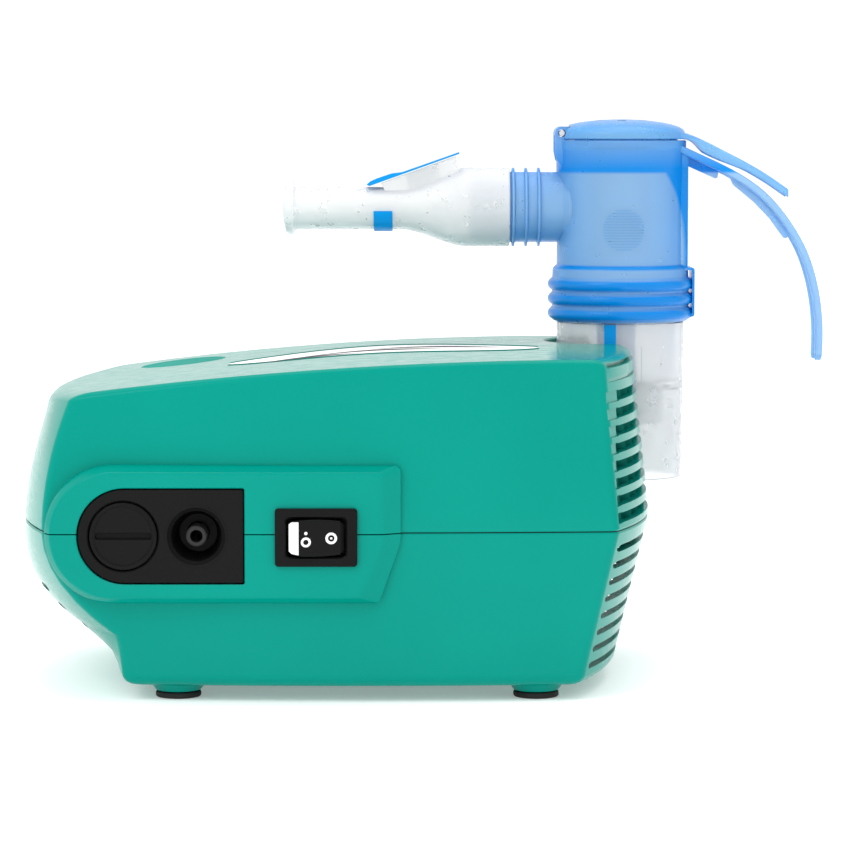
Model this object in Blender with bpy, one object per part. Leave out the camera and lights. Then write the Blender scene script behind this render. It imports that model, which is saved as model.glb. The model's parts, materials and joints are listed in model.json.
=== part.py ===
"""Tabletop nebulizer: a piston compressor in a two-part housing, with the nebulizer parked in its bay.

Lengths below are millimetres and become metres when a mesh is made. X runs from the compressor's
nose to the vented end, Y from the control side to the mains side, Z up from the table.
"""
import math

import bmesh
import bpy
from mathutils import Vector

MM = 0.001
GAP = 0.3
WALL = 2.2
ROUND = 28

# Housing: plan at the split line, side profiles and top
CENTRE_Y = 3.0
SEAM_Z = 44.7
BASE_Z = 4.0
HALF_WIDTH = 62.0
SIDE_BOW = 3.0
NOSE_EDGE_X = -101.6
NOSE_APEX_X = -111.5
TAIL_EDGE_X = 48.0
TAIL_APEX_X = 59.3
CREST_X = 39.3
CREST_Z = 89.4
CREST_FALL = 5.1e-4
NOSE_TOP_Z = 80.6
CORNER = 1.6
NOSE_FILLET = 6.0
TAIL_FILLET = 3.0
SIDE_FILLET = 2.0
BASE_FILLET = 3.5
FRONT_FOOT_X = -82.0
END_STEPS = 5
SIDE_STEPS = 6

# Vents at the tail
SLOT_PITCH = 4.5
UPPER_SLOT = 2.6
UPPER_SLOT_Z = 48.0
UPPER_SLOTS = 8
LOWER_SLOT = 1.65
LOWER_SLOT_Z = 39.7
LOWER_PITCH = 4.4
LOWER_SLOTS = 8
NOSE_SLOTS = 3

# Raised island on the control side, with the port plate and the switch
ISLAND_Y = -62.5
ISLAND_X = -83.0
ISLAND_Z = 44.4
ISLAND_R = 15.9
ISLAND_FLANK = 1.5
ISLAND_RIGHT = -14.1
PLATE_X = -79.8
PLATE_Z = 44.2
PLATE_R = 12.5
PLATE_RIGHT = -48.8
PLATE_Y = -62.2
PLATE_BACK = -43.0
FILTER_X = -80.2
FILTER_R = 8.8
SOCKET_X = -61.3
SOCKET_R = 7.7
SOCKET_FLOOR = -52.5
NOZZLE_R = 2.8
NOZZLE_BORE = 1.7
SWITCH_X = -30.3
SWITCH_Z = 44.0
BEZEL = (21.3, 15.1)
SWITCH_BODY = (18.6, 12.4)
ROCKER_POCKET = (15.2, 10.0)
BEZEL_Y = -63.8
ROCKER_PIVOT_Y = -62.8
ROCKER_TILT = 12.0

# Feet, screws and the pieces on the hidden sides
FOOT_XY = ((-67.2, -45.0), (27.1, -45.0), (-67.2, 45.0), (27.1, 45.0))
SCREW_XY = ((-72.0, -24.0), (24.0, -22.0), (-72.0, 30.0), (14.0, 52.0))
PAD_R = 6.0
PAD_TOP = 1.6
BOSS_R = 4.2
INLET_X = -35.0
INLET_Z = 26.0
INLET_SIZE = (24.0, 16.0)
BADGE_XY = (-70.7, 35.0)
BADGE_R = (11.7, 14.0)

# Motor and pump
MOTOR_Y = 14.0
MOTOR_Z = 38.0
STATOR_X = (-16.0, 8.0)
SHAFT_R = 2.5
CRANK_THROW = 3.0
PUMP_X = -49.8
PISTON_R = 11.9

# Nebulizer
NEB = (53.3, 37.0)
BAY_FLOOR = 50.4
BAY_R = 18.9
BAY_TOP_R = 21.3
CUP_Z = 50.7
CUP_R = 18.1
CUP_SHOULDER_Z = 94.6
RING_Z = (95.1, 110.4)
RING_R = 20.6
RIM_Z = 146.0
TUBE_Z = 127.1
SPIGOT_R = 9.95
SPIGOT_END_X = 10.8
MOUTH_END_X = 21.8
MOUTH_LEFT_X = -42.2
MOUTH_R = 11.15
CONE_X = (-9.3, 10.2)
HINGE_X = NEB[0] - 16.93
HINGE_Z = 148.0
FLAP_ROOT = (-18.4, 132.9)
FLAP_TIP = (7.6, 142.2)


# Mesh helpers ---------------------------------------------------------------------------------

def clear_scene():
    for obj in list(bpy.data.objects):
        bpy.data.objects.remove(obj, do_unlink=True)


def make_material(name, colour, roughness, metallic=0.0, alpha=1.0):
    mat = bpy.data.materials.new(name)
    mat.use_nodes = True
    shader = mat.node_tree.nodes["Principled BSDF"]
    shader.inputs["Base Color"].default_value = (*colour, 1.0)
    shader.inputs["Roughness"].default_value = roughness
    shader.inputs["Metallic"].default_value = metallic
    shader.inputs["Alpha"].default_value = alpha
    return mat


def make_object(name, shape, mat=None, origin=(0.0, 0.0, 0.0)):
    """Make a closed mesh from (points, faces) in millimetres, with its origin where given."""
    points, faces = shape
    mesh = bpy.data.meshes.new(name)
    base = Vector(origin)
    mesh.from_pydata([(Vector(p) - base) * MM for p in points], [], faces)
    shell = bmesh.new()
    shell.from_mesh(mesh)
    bmesh.ops.recalc_face_normals(shell, faces=shell.faces)
    shell.to_mesh(mesh)
    shell.free()
    mesh.shade_smooth()
    mesh.set_sharp_from_angle(angle=math.radians(32))
    obj = bpy.data.objects.new(name, mesh)
    obj.location = base * MM
    bpy.context.collection.objects.link(obj)
    if mat:
        mesh.materials.append(mat)
    return obj


def combine(target, shape, operation, name):
    """Add or remove a hidden shape with a Boolean."""
    guide = make_object(name, shape)
    guide.hide_render = True
    guide.display_type = "WIRE"
    modifier = target.modifiers.new(name, "BOOLEAN")
    modifier.operation = operation
    modifier.object = guide
    return guide


def add(target, shape, name):
    return combine(target, shape, "UNION", name)


def cut(target, shape, name):
    return combine(target, shape, "DIFFERENCE", name)


def loft(rings):
    """Join equal rings into a closed solid with a flat cap at each end."""
    size = len(rings[0])
    count = len(rings)
    points = [point for ring in rings for point in ring]
    faces = []
    for i in range(count - 1):
        a = i * size
        b = a + size
        for j in range(size):
            k = (j + 1) % size
            faces.append((a + j, a + k, b + k, b + j))
    faces.append(tuple(range(size)))
    faces.append(tuple(range((count - 1) * size, count * size)))
    return points, faces


def on_axis(axis, centre, a, b, h):
    """A point h along an axis from centre, and (a, b) across it."""
    x, y, z = centre
    if axis == "X":
        return (x + h, y + a, z + b)
    if axis == "Y":
        return (x + a, y + h, z + b)
    return (x + a, y + b, z + h)


def turned(profile, centre, axis="Z", steps=ROUND):
    """Turn a closed (radius, height) outline about an axis; radius 0 makes a pole."""
    points, rows, faces = [], [], []
    for radius, height in profile:
        if radius < 1e-6:
            rows.append([len(points)] * steps)
            points.append(on_axis(axis, centre, 0, 0, height))
            continue
        rows.append(list(range(len(points), len(points) + steps)))
        for k in range(steps):
            angle = math.tau * k / steps
            across = (radius * math.cos(angle), radius * math.sin(angle))
            points.append(on_axis(axis, centre, *across, height))
    for row, other in zip(rows, rows[1:] + rows[:1]):
        for k in range(steps):
            j = (k + 1) % steps
            corners = list(dict.fromkeys((row[k], row[j], other[j], other[k])))
            if len(corners) > 2:
                faces.append(tuple(corners))
    return points, faces


def disc(radius, low, high, centre, axis="Z", steps=ROUND):
    return turned(((0, low), (radius, low), (radius, high), (0, high)), centre, axis, steps)


def pipe(inner, outer, low, high, centre, axis="Z", steps=ROUND):
    outline = ((inner, low), (outer, low), (outer, high), (inner, high))
    return turned(outline, centre, axis, steps)


def prism(outline, low, high, axis="Y"):
    """Extrude an outline given in the two other axes, in X-Y-Z order."""
    rings = []
    for h in (low, high):
        rings.append([on_axis(axis, (0, 0, 0), a, b, h) for a, b in outline])
    return loft(rings)


def block(low, high):
    corners = ((low[0], low[1]), (high[0], low[1]), (high[0], high[1]), (low[0], high[1]))
    return prism(corners, low[2], high[2], "Z")


def merge(shapes):
    """Several separate closed shapes as one cutter."""
    points, faces = [], []
    for part_points, part_faces in shapes:
        start = len(points)
        points += part_points
        faces += [tuple(start + i for i in face) for face in part_faces]
    return points, faces


def arc(centre, radius, start, end, steps):
    """Points on a circle from one angle to another, in degrees, both ends included."""
    points = []
    for k in range(steps + 1):
        angle = math.radians(start + (end - start) * k / steps)
        points.append((centre[0] + radius * math.cos(angle), centre[1] + radius * math.sin(angle)))
    return points


def rounded_rectangle(centre, size, radius, steps=3):
    outline = []
    for quarter, (sx, sy) in enumerate(((1, 1), (-1, 1), (-1, -1), (1, -1))):
        corner = (centre[0] + sx * (size[0] / 2 - radius), centre[1] + sy * (size[1] / 2 - radius))
        outline += arc(corner, radius, 90 * quarter, 90 * quarter + 90, steps)
    return outline


def smoothstep(value):
    value = min(max(value, 0.0), 1.0)
    return value * value * (3 - 2 * value)


def strap(path, widths, thicknesses, y):
    """A flat strap along an (x, z) path, chamfered, its width along Y."""
    rings = []
    for i, (x, z) in enumerate(path):
        before = path[max(i - 1, 0)]
        after = path[min(i + 1, len(path) - 1)]
        along = Vector((after[0] - before[0], after[1] - before[1])).normalized()
        out = Vector((-along.y, along.x))
        w, t = widths[i] / 2, thicknesses[i] / 2
        c = min(0.6, t * 0.6)
        section = ((w - c, t), (w, t - c), (w, c - t), (w - c, -t))
        section += tuple((-a, b) for a, b in reversed(section))
        rings.append([(x + out.x * b, y + a, z + out.y * b) for a, b in section])
    return loft(rings)


def hose(path, radius, sides=10):
    """A solid round tube along points that bend in the XY plane."""
    rings = []
    for i, point in enumerate(path):
        before = Vector(path[max(i - 1, 0)])
        after = Vector(path[min(i + 1, len(path) - 1)])
        along = (after - before).normalized()
        across = along.cross(Vector((0, 0, 1))).normalized()
        ring = []
        for k in range(sides):
            angle = math.tau * k / sides
            offset = across * math.cos(angle) + Vector((0, 0, 1)) * math.sin(angle)
            ring.append(tuple(Vector(point) + offset * radius))
        rings.append(ring)
    return loft(rings)


# Housing surface ------------------------------------------------------------------------------

def top_height(x):
    return CREST_Z - CREST_FALL * max(0.0, CREST_X - x) ** 2


def half_outline(edges, apexes, half_width):
    """The near half of a plan outline, from the nose apex to the tail apex."""
    end_half = half_width - SIDE_BOW
    middle = (edges[0] + edges[1]) / 2
    half_length = (edges[1] - edges[0]) / 2

    def end_point(side, v):
        return (apexes[side] + (edges[side] - apexes[side]) * v * v, -end_half * v)

    def side_point(u):
        return (middle + half_length * u, -end_half - SIDE_BOW * (1 - u * u))

    turn = 1 - CORNER / end_half
    reach = 1 - CORNER / half_length
    nose = [end_point(0, turn * k / END_STEPS) for k in range(END_STEPS + 1)]
    side = [side_point(reach * (2 * k / SIDE_STEPS - 1)) for k in range(SIDE_STEPS + 1)]
    tail = [end_point(1, turn * k / END_STEPS) for k in range(END_STEPS, -1, -1)]
    first = corner_points(nose[-1], (edges[0], -end_half), side[0])
    last = corner_points(side[-1], (edges[1], -end_half), tail[0])
    return nose + first + side + last + tail


def corner_points(start, control, end):
    """Two points on the parabola that rounds a plan corner."""
    points = []
    for t in (0.35, 0.65):
        weights = ((1 - t) ** 2, 2 * t * (1 - t), t * t)
        points.append(tuple(
            weights[0] * start[i] + weights[1] * control[i] + weights[2] * end[i] for i in (0, 1)
        ))
    return points


def full_ring(half):
    """Mirror the near half of a ring, given about y = 0, to the far side."""
    near = [(x, CENTRE_Y + y, z) for x, y, z in half]
    far = [(x, CENTRE_Y - y, z) for x, y, z in half[-2:0:-1]]
    return near + far


def shoulder(x):
    """Height of the rounding between the walls and the top."""
    nose = smoothstep((NOSE_EDGE_X + 3 - x) / 9)
    tail = smoothstep((x - TAIL_EDGE_X + 10) / 8)
    return SIDE_FILLET + (NOSE_FILLET - SIDE_FILLET) * nose + (TAIL_FILLET - SIDE_FILLET) * tail


def upper_ring(fraction, angle=0.0, wall=0.0, low=SEAM_Z + GAP / 2):
    """A ring of the upper housing: fraction up the wall, then angle round the shoulder."""
    nose_rise = fraction * (NOSE_TOP_Z - SEAM_Z)
    tail_rise = fraction * (CREST_Z - SEAM_Z)
    inset = 1 - math.cos(angle)
    nose_in = wall + NOSE_FILLET * inset
    tail_in = wall + TAIL_FILLET * inset
    edges = (
        NOSE_EDGE_X + 0.0054 * nose_rise ** 2 + nose_in,
        TAIL_EDGE_X - 0.08 * tail_rise - tail_in,
    )
    apexes = (
        NOSE_APEX_X + 0.05 * nose_rise + 0.0033 * nose_rise ** 2 + nose_in,
        TAIL_APEX_X - 0.10 * tail_rise - tail_in,
    )
    half_width = HALF_WIDTH - 0.03 * tail_rise - wall - SIDE_FILLET * inset
    half = []
    for x, y in half_outline(edges, apexes, half_width):
        rise = shoulder(x)
        start = top_height(x) - wall - rise
        half.append((x, y, low + fraction * (start - low) + rise * math.sin(angle)))
    return full_ring(half)


def lower_ring(fraction, angle=0.0, wall=0.0, high=SEAM_Z - GAP / 2):
    """A ring of the lower housing: fraction down the wall, then angle round the base edge."""
    start = BASE_Z + wall + BASE_FILLET
    z = high - fraction * (high - start)
    depth = max(SEAM_Z - z, 0.0)
    inset = wall + BASE_FILLET * (1 - math.cos(angle))
    edges = (
        min(NOSE_EDGE_X + 0.0256 * depth ** 2, FRONT_FOOT_X + 0.08 * (depth - 27)) + inset,
        TAIL_EDGE_X - 0.235 * depth - inset,
    )
    apexes = (
        min(NOSE_APEX_X + 6.2e-4 * depth ** 2.99, FRONT_FOOT_X - 4.5 + 0.1 * (depth - 33)) + inset,
        TAIL_APEX_X - 0.24 * depth - inset,
    )
    half_width = HALF_WIDTH - 0.035 * depth - inset
    height = z - BASE_FILLET * math.sin(angle)
    return full_ring([(x, y, height) for x, y in half_outline(edges, apexes, half_width)])


def housing_solid(rings):
    """Close a stack of mirrored rings with strips from the near side to the far side."""
    size = len(rings[0])
    half = size // 2
    points, faces = loft(rings)
    faces = faces[:-2]
    for start in (0, (len(rings) - 1) * size):
        for i in range(half):
            strip = (i, i + 1, (size - i - 1) % size, (size - i) % size)
            corners = dict.fromkeys(start + j for j in strip)
            faces.append(tuple(corners))
    return points, faces


def upper_solid():
    rings = [upper_ring(f) for f in (0.0, 0.35, 0.7, 1.0)]
    rings += [upper_ring(1.0, math.radians(a)) for a in (30, 60, 90)]
    return housing_solid(rings)


def upper_cavity():
    rings = [upper_ring(0.0, wall=WALL, low=SEAM_Z - 2)]
    rings += [upper_ring(f, wall=WALL) for f in (0.5, 1.0)]
    rings += [upper_ring(1.0, math.radians(a), WALL) for a in (45, 90)]
    return housing_solid(rings)


def lower_solid():
    rings = [lower_ring(f) for f in (0.0, 0.25, 0.5, 0.68, 0.82, 0.9, 1.0)]
    rings += [lower_ring(1.0, math.radians(a)) for a in (45, 90)]
    return housing_solid(rings)


def lower_cavity():
    rings = [lower_ring(0.0, wall=WALL, high=SEAM_Z + 2)]
    rings += [lower_ring(f, wall=WALL) for f in (0.4, 0.65, 0.85, 1.0)]
    rings += [lower_ring(1.0, math.radians(a), WALL) for a in (45, 90)]
    return housing_solid(rings)


# Housing pieces -------------------------------------------------------------------------------

def island_half(grow, upper):
    """Half of the island's outline in X and Z, above or below the split line."""
    radius = ISLAND_R + grow
    right = ISLAND_RIGHT + grow * 2.8
    centre = (ISLAND_X, ISLAND_Z)
    if upper:
        cut_z = SEAM_Z + GAP / 2
        top_corner = arc((right - 2.5, ISLAND_Z + radius - 2.5), 2.5, 0, 90, 3)
        start = math.degrees(math.asin((cut_z - ISLAND_Z) / radius))
        nose = arc(centre, radius, 90, 180 - start, 8)
        return [(right, cut_z)] + top_corner + nose
    cut_z = SEAM_Z - GAP / 2
    start = math.degrees(math.asin((cut_z - ISLAND_Z) / radius))
    nose = arc(centre, radius, 180 - start, 270, 8)
    slant = ((right - 5.7, ISLAND_Z - radius), (right, cut_z - 1.5))
    return nose + [*slant, (right, cut_z)]


def island(upper):
    """The raised island: a tapered pad that stands out of the bowed side wall."""
    rings = []
    for y, grow in ((-53.5, ISLAND_FLANK), (-59.2, ISLAND_FLANK), (ISLAND_Y, 0.0)):
        rings.append([(x, y, z) for x, z in island_half(grow, upper)])
    return loft(rings)


def plate_outline(grow):
    """The port plate's outline in X and Z: square at the right, round at the nose end."""
    radius = PLATE_R + grow
    right = PLATE_RIGHT + grow
    nose = arc((PLATE_X, PLATE_Z), radius, 90, 270, 12)
    return nose + [(right, PLATE_Z - radius), (right, PLATE_Z + radius)]


def control_openings():
    """Cutters for the port plate and the switch, through the island and the side wall."""
    switch = (SWITCH_BODY[0] + 2 * GAP, SWITCH_BODY[1] + 2 * GAP)
    opening = rounded_rectangle((SWITCH_X, SWITCH_Z), switch, 0.8, 1)
    return merge((prism(plate_outline(0.0), -70, -50), prism(opening, -70, -50)))


def bosses(low, high, radius):
    return [disc(radius, low, high, (x, y, 0), steps=12) for x, y in SCREW_XY]


def upper_vents():
    """Horizontal slots round the tail, from the near corner to the nebulizer bay."""
    slots = []
    for k in range(UPPER_SLOTS):
        z = UPPER_SLOT_Z + SLOT_PITCH * k
        centre = (-20.5, z)
        outline = rounded_rectangle(centre, (63.0, UPPER_SLOT), 0.8, 1)
        slots.append(prism(outline, TAIL_EDGE_X - 6, TAIL_APEX_X + 4, "X"))
    return merge(slots)


def lower_vents():
    slots = []
    for k in range(LOWER_SLOTS):
        z = LOWER_SLOT_Z - LOWER_PITCH * k
        outline = rounded_rectangle((CENTRE_Y, z), (109.0, LOWER_SLOT), 0.5, 1)
        slots.append(prism(outline, TAIL_EDGE_X - 16, TAIL_APEX_X + 4, "X"))
    for k in range(NOSE_SLOTS):
        z = 17.0 + 5.0 * k
        outline = rounded_rectangle((CENTRE_Y, z), (70.0, 2.0), 0.6, 1)
        slots.append(prism(outline, NOSE_APEX_X - 4, NOSE_APEX_X + 34 - 4.5 * k, "X"))
    return merge(slots)


def bay_bore():
    """The nebulizer's bay, open at the tail, with a low ring that the cup's skirt stands over."""
    top = CREST_Z + 12
    profile = (
        (0, BAY_FLOOR), (12.0, BAY_FLOOR), (12.0, BAY_FLOOR + 3), (15.4, BAY_FLOOR + 3),
        (15.8, BAY_FLOOR), (BAY_R, BAY_FLOOR), (BAY_TOP_R, CREST_Z), (BAY_TOP_R, top), (0, top),
    )
    return turned(profile, (*NEB, 0))


def badge_shape(grow, low, high):
    """An elliptical tablet that follows the slope of the top."""
    rings = []
    for offset in (low, high):
        ring = []
        for k in range(28):
            angle = math.tau * k / 28
            x = BADGE_XY[0] + (BADGE_R[0] + grow) * math.cos(angle)
            y = BADGE_XY[1] + (BADGE_R[1] + grow) * math.sin(angle)
            ring.append((x, y, top_height(x) + offset))
        rings.append(ring)
    return loft(rings)


def make_upper_housing(mat):
    housing = make_object("upper_housing", upper_solid(), mat)
    add(housing, island(True), "upper_island")
    cut(housing, control_openings(), "upper_openings")
    cavity = cut(housing, upper_cavity(), "upper_space")
    lining = ((0, SEAM_Z - 4), (BAY_R + WALL, SEAM_Z - 4), (BAY_TOP_R + WALL, CREST_Z),
              (BAY_TOP_R + WALL, CREST_Z + 6), (0, CREST_Z + 6))
    cut(cavity, turned(lining, (*NEB, 0)), "bay_lining")
    cut(cavity, merge(bosses(SEAM_Z - 4, CREST_Z + 6, BOSS_R)), "upper_bosses")
    cut(housing, bay_bore(), "bay_bore")
    cut(housing, upper_vents(), "upper_vent_slots")
    cut(housing, badge_shape(GAP, -0.9, 6.0), "badge_recess")
    cut(housing, merge(bosses(SEAM_Z - 4, SEAM_Z + 17, 1.5)), "screw_pilots")
    return housing


def foot_bosses():
    """Tapered bosses under the base, one over each rubber pad."""
    low = PAD_TOP + GAP
    profile = ((0, low), (6.1, low), (7.9, BASE_Z + 0.4), (7.9, 5.4), (0, 5.4))
    return merge([turned(profile, (x, y, 0), steps=16) for x, y in FOOT_XY])


def screw_wells():
    """Stepped holes: a well for the screw's head from below, then a hole for its shank."""
    low, step, high = BASE_Z - 2, 30.0, SEAM_Z + 4
    profile = ((0, low), (3.0, low), (3.0, step), (1.8, step), (1.8, high), (0, high))
    return merge([turned(profile, (x, y, 0), steps=12) for x, y in SCREW_XY])


def make_lower_housing(mat):
    housing = make_object("lower_housing", lower_solid(), mat)
    add(housing, island(False), "lower_island")
    cut(housing, control_openings(), "lower_openings")
    cavity = cut(housing, lower_cavity(), "lower_space")
    cut(cavity, merge(bosses(BASE_Z - 2, SEAM_Z - GAP / 2, BOSS_R)), "lower_bosses")
    cut(housing, lower_vents(), "lower_vent_slots")
    inlet = (INLET_SIZE[0] + 2 * GAP, INLET_SIZE[1] + 2 * GAP)
    opening = rounded_rectangle((INLET_X, INLET_Z), inlet, 2.0, 2)
    cut(housing, prism(opening, CENTRE_Y + 50, CENTRE_Y + 70), "inlet_opening")
    add(housing, foot_bosses(), "foot_bosses")
    stems = [disc(2.6, -1, BASE_Z + 6, (x, y, 0), steps=10) for x, y in FOOT_XY]
    cut(housing, merge(stems), "pad_holes")
    cut(housing, screw_wells(), "screw_wells")
    return housing


def make_port_block(mat):
    """The black block behind the island: filter chamber, hose socket and nozzle hole."""
    port = make_object("port_block", prism(plate_outline(-GAP), PLATE_BACK, PLATE_Y), mat)
    filter_centre = (FILTER_X, 0, PLATE_Z)
    socket_centre = (SOCKET_X, 0, PLATE_Z)
    chamber = (
        (0, -46.0), (8.1, -46.0), (8.1, -59.2), (FILTER_R + GAP, -59.2), (FILTER_R + GAP, -70), (0, -70),
    )
    cut(port, turned(chamber, filter_centre, "Y", 22), "filter_chamber")
    cut(port, disc(2.2, -50, -40, filter_centre, "Y", 12), "intake_hole")
    cut(port, disc(SOCKET_R, -70, SOCKET_FLOOR, socket_centre, "Y", 22), "hose_socket")
    cut(port, disc(NOZZLE_R + GAP, -55, -40, socket_centre, "Y", 16), "nozzle_hole")
    return port


def make_air_nozzle(mat):
    nozzle = (
        (NOZZLE_BORE, -61.6), (NOZZLE_R - 0.2, -61.6), (NOZZLE_R, -61.0),
        (NOZZLE_R, -38.5), (NOZZLE_BORE, -38.5),
    )
    return make_object("air_outlet_nozzle", turned(nozzle, (SOCKET_X, 0, PLATE_Z), "Y", 20), mat)


def make_filter(cap_mat, foam_mat):
    centre = (FILTER_X, 0, PLATE_Z)
    origin = (FILTER_X, PLATE_Y, PLATE_Z)
    face = PLATE_Y - 0.1
    profile = ((0, -59.6), (FILTER_R, -59.6), (FILTER_R, face + 0.4), (FILTER_R - 0.4, face), (0, face))
    cap = make_object("filter_cap", turned(profile, centre, "Y", 22), cap_mat, origin)
    slot = rounded_rectangle((FILTER_X, PLATE_Z), (15.0, 1.9), 0.3, 1)
    cut(cap, prism(slot, face - 2, face + 1.3), "coin_slot")
    element = pipe(2.0, 7.6, -59.2, -46.4, centre, "Y", 24)
    return cap, make_object("filter_element", element, foam_mat, origin)


def make_switch(body_mat, rocker_mat):
    centre = (SWITCH_X, SWITCH_Z)
    flange = prism(rounded_rectangle(centre, BEZEL, 0.8, 2), BEZEL_Y, ISLAND_Y - GAP)
    body = make_object("switch_body", flange, body_mat)
    add(body, prism(rounded_rectangle(centre, SWITCH_BODY, 0.5, 1), BEZEL_Y + 0.4, -46), "switch_case")
    pocket = rounded_rectangle(centre, ROCKER_POCKET, 0.6, 1)
    cut(body, prism(pocket, BEZEL_Y - 3, -56.5), "rocker_pocket")
    origin = (SWITCH_X, ROCKER_PIVOT_Y, SWITCH_Z)
    tilt = math.radians(ROCKER_TILT)
    face = [(6.9 * u, 1.7 + 1.2 * u * u) for u in (1, 0.6, 0.2, -0.2, -0.6, -1)]
    side = [(-6.5, -2.2), (-3.0, -4.0), (3.0, -4.0), (6.5, -2.2)]
    outline = []
    for u, v in face + side:
        x = u * math.cos(tilt) + v * math.sin(tilt)
        y = u * math.sin(tilt) - v * math.cos(tilt)
        outline.append((SWITCH_X + x, ROCKER_PIVOT_Y + y))
    low = SWITCH_Z - ROCKER_POCKET[1] / 2 + 0.35
    high = SWITCH_Z + ROCKER_POCKET[1] / 2 - 0.35
    make_object("switch_rocker", prism(outline, low, high, "Z"), rocker_mat, origin)


def make_feet_and_screws(rubber, steel):
    for number, (x, y) in enumerate(FOOT_XY, 1):
        profile = (
            (0, 0), (PAD_R - 0.4, 0), (PAD_R, 0.4), (PAD_R, PAD_TOP), (2.3, PAD_TOP), (2.3, 7.6), (0, 8.0),
        )
        make_object(f"foot_pad_{number}", turned(profile, (x, y, 0), steps=14), rubber)
    for number, (x, y) in enumerate(SCREW_XY, 1):
        profile = ((0, 27.0), (2.6, 27.0), (2.6, 29.7), (1.2, 29.7), (1.2, 58.0), (0, 59.0))
        make_object(f"housing_screw_{number}", turned(profile, (x, y, 0), steps=12), steel)


def make_mains_inlet(mat):
    """The two-pin appliance inlet on the mains side."""
    face = CENTRE_Y + HALF_WIDTH + 0.2
    outline = rounded_rectangle((INLET_X, INLET_Z), INLET_SIZE, 1.8, 2)
    inlet = make_object("mains_inlet", prism(outline, face - 16, face), mat)
    recess = rounded_rectangle((INLET_X, INLET_Z), (17.4, 8.6), 4.2, 4)
    cut(inlet, prism(recess, face - 12, face + 3), "inlet_recess")
    pins = [disc(1.2, face - 13, face - 2.5, (INLET_X + s * 4.3, 0, INLET_Z), "Y", 10) for s in (-1, 1)]
    add(inlet, merge(pins), "inlet_pins")


def make_plates(label_mat, badge_mat):
    plate = rounded_rectangle((-22.0, CENTRE_Y), (52.0, 34.0), 3.0, 3)
    make_object("rating_plate", prism(plate, BASE_Z - GAP - 0.6, BASE_Z - GAP, "Z"), label_mat)
    make_object("top_badge", badge_shape(0.0, -0.55, 0.05), badge_mat)


# Motor and pump -------------------------------------------------------------------------------

def make_motor(steel, copper, alloy, plastic):
    centre = (0, MOTOR_Y, MOTOR_Z)
    yz = (MOTOR_Y, MOTOR_Z)
    stack = make_object("motor_stator", prism(rounded_rectangle(yz, (50, 50), 5), *STATOR_X, "X"), steel)
    cut(stack, disc(14.6, STATOR_X[0] - 2, STATOR_X[1] + 2, centre, "X", 24), "stator_bore")
    front, rear = STATOR_X[0] - GAP, STATOR_X[1] + GAP
    make_object("winding_front", pipe(15.2, 21.0, front - 7, front, centre, "X", 24), copper)
    make_object("winding_rear", pipe(15.2, 21.0, rear, rear + 7, centre, "X", 24), copper)
    ends = {"front": front - 11, "rear": rear + 8}
    for end, x in ends.items():
        outline = ((-12, 10.5), (40, 10.5), (40, 16), (34, 34), (34, 52), (26, 60), (2, 60),
                   (-6, 52), (-6, 34), (-12, 16))
        bracket = make_object(f"motor_bracket_{end}", prism(outline, x, x + 2.5, "X"), alloy)
        cut(bracket, disc(7.3, x - 2, x + 5, centre, "X", 20), f"bearing_seat_{end}")
        ring = pipe(SHAFT_R + GAP, 7.0, x - 1, x + 3.5, centre, "X", 20)
        make_object(f"motor_bearing_{end}", ring, steel)
    origin = (STATOR_X[0], MOTOR_Y, MOTOR_Z)
    core = pipe(SHAFT_R + GAP, 14.1, STATOR_X[0] + 0.5, STATOR_X[1] - 0.5, centre, "X", 24)
    make_object("rotor_core", core, steel, origin)
    make_object("motor_shaft", disc(SHAFT_R, -42.0, 28.5, centre, "X", 14), steel, origin)
    fan_outline = []
    for blade in range(7):
        base = math.tau * blade / 7
        for turn, radius in ((-0.40, 6.5), (-0.085, 7.0), (-0.045, 19.0), (0.045, 19.0), (0.085, 7.0)):
            angle = base + turn
            fan_outline.append((MOTOR_Y + radius * math.cos(angle), MOTOR_Z + radius * math.sin(angle)))
    fan = make_object("cooling_fan", prism(fan_outline, 21.5, 28.0, "X"), plastic, origin)
    cut(fan, disc(SHAFT_R + GAP, 20, 30, centre, "X", 14), "fan_bore")
    crank = make_object("crank_eccentric", disc(11.0, -45.5, -39.0, centre, "X", 24), alloy, origin)
    pin_centre = (0, MOTOR_Y, MOTOR_Z + CRANK_THROW)
    add(crank, disc(2.5, -53.0, -44.0, pin_centre, "X", 14), "crank_pin")
    cut(crank, disc(SHAFT_R + GAP, -42.5, -38.0, centre, "X", 14), "crank_bore")


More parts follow.
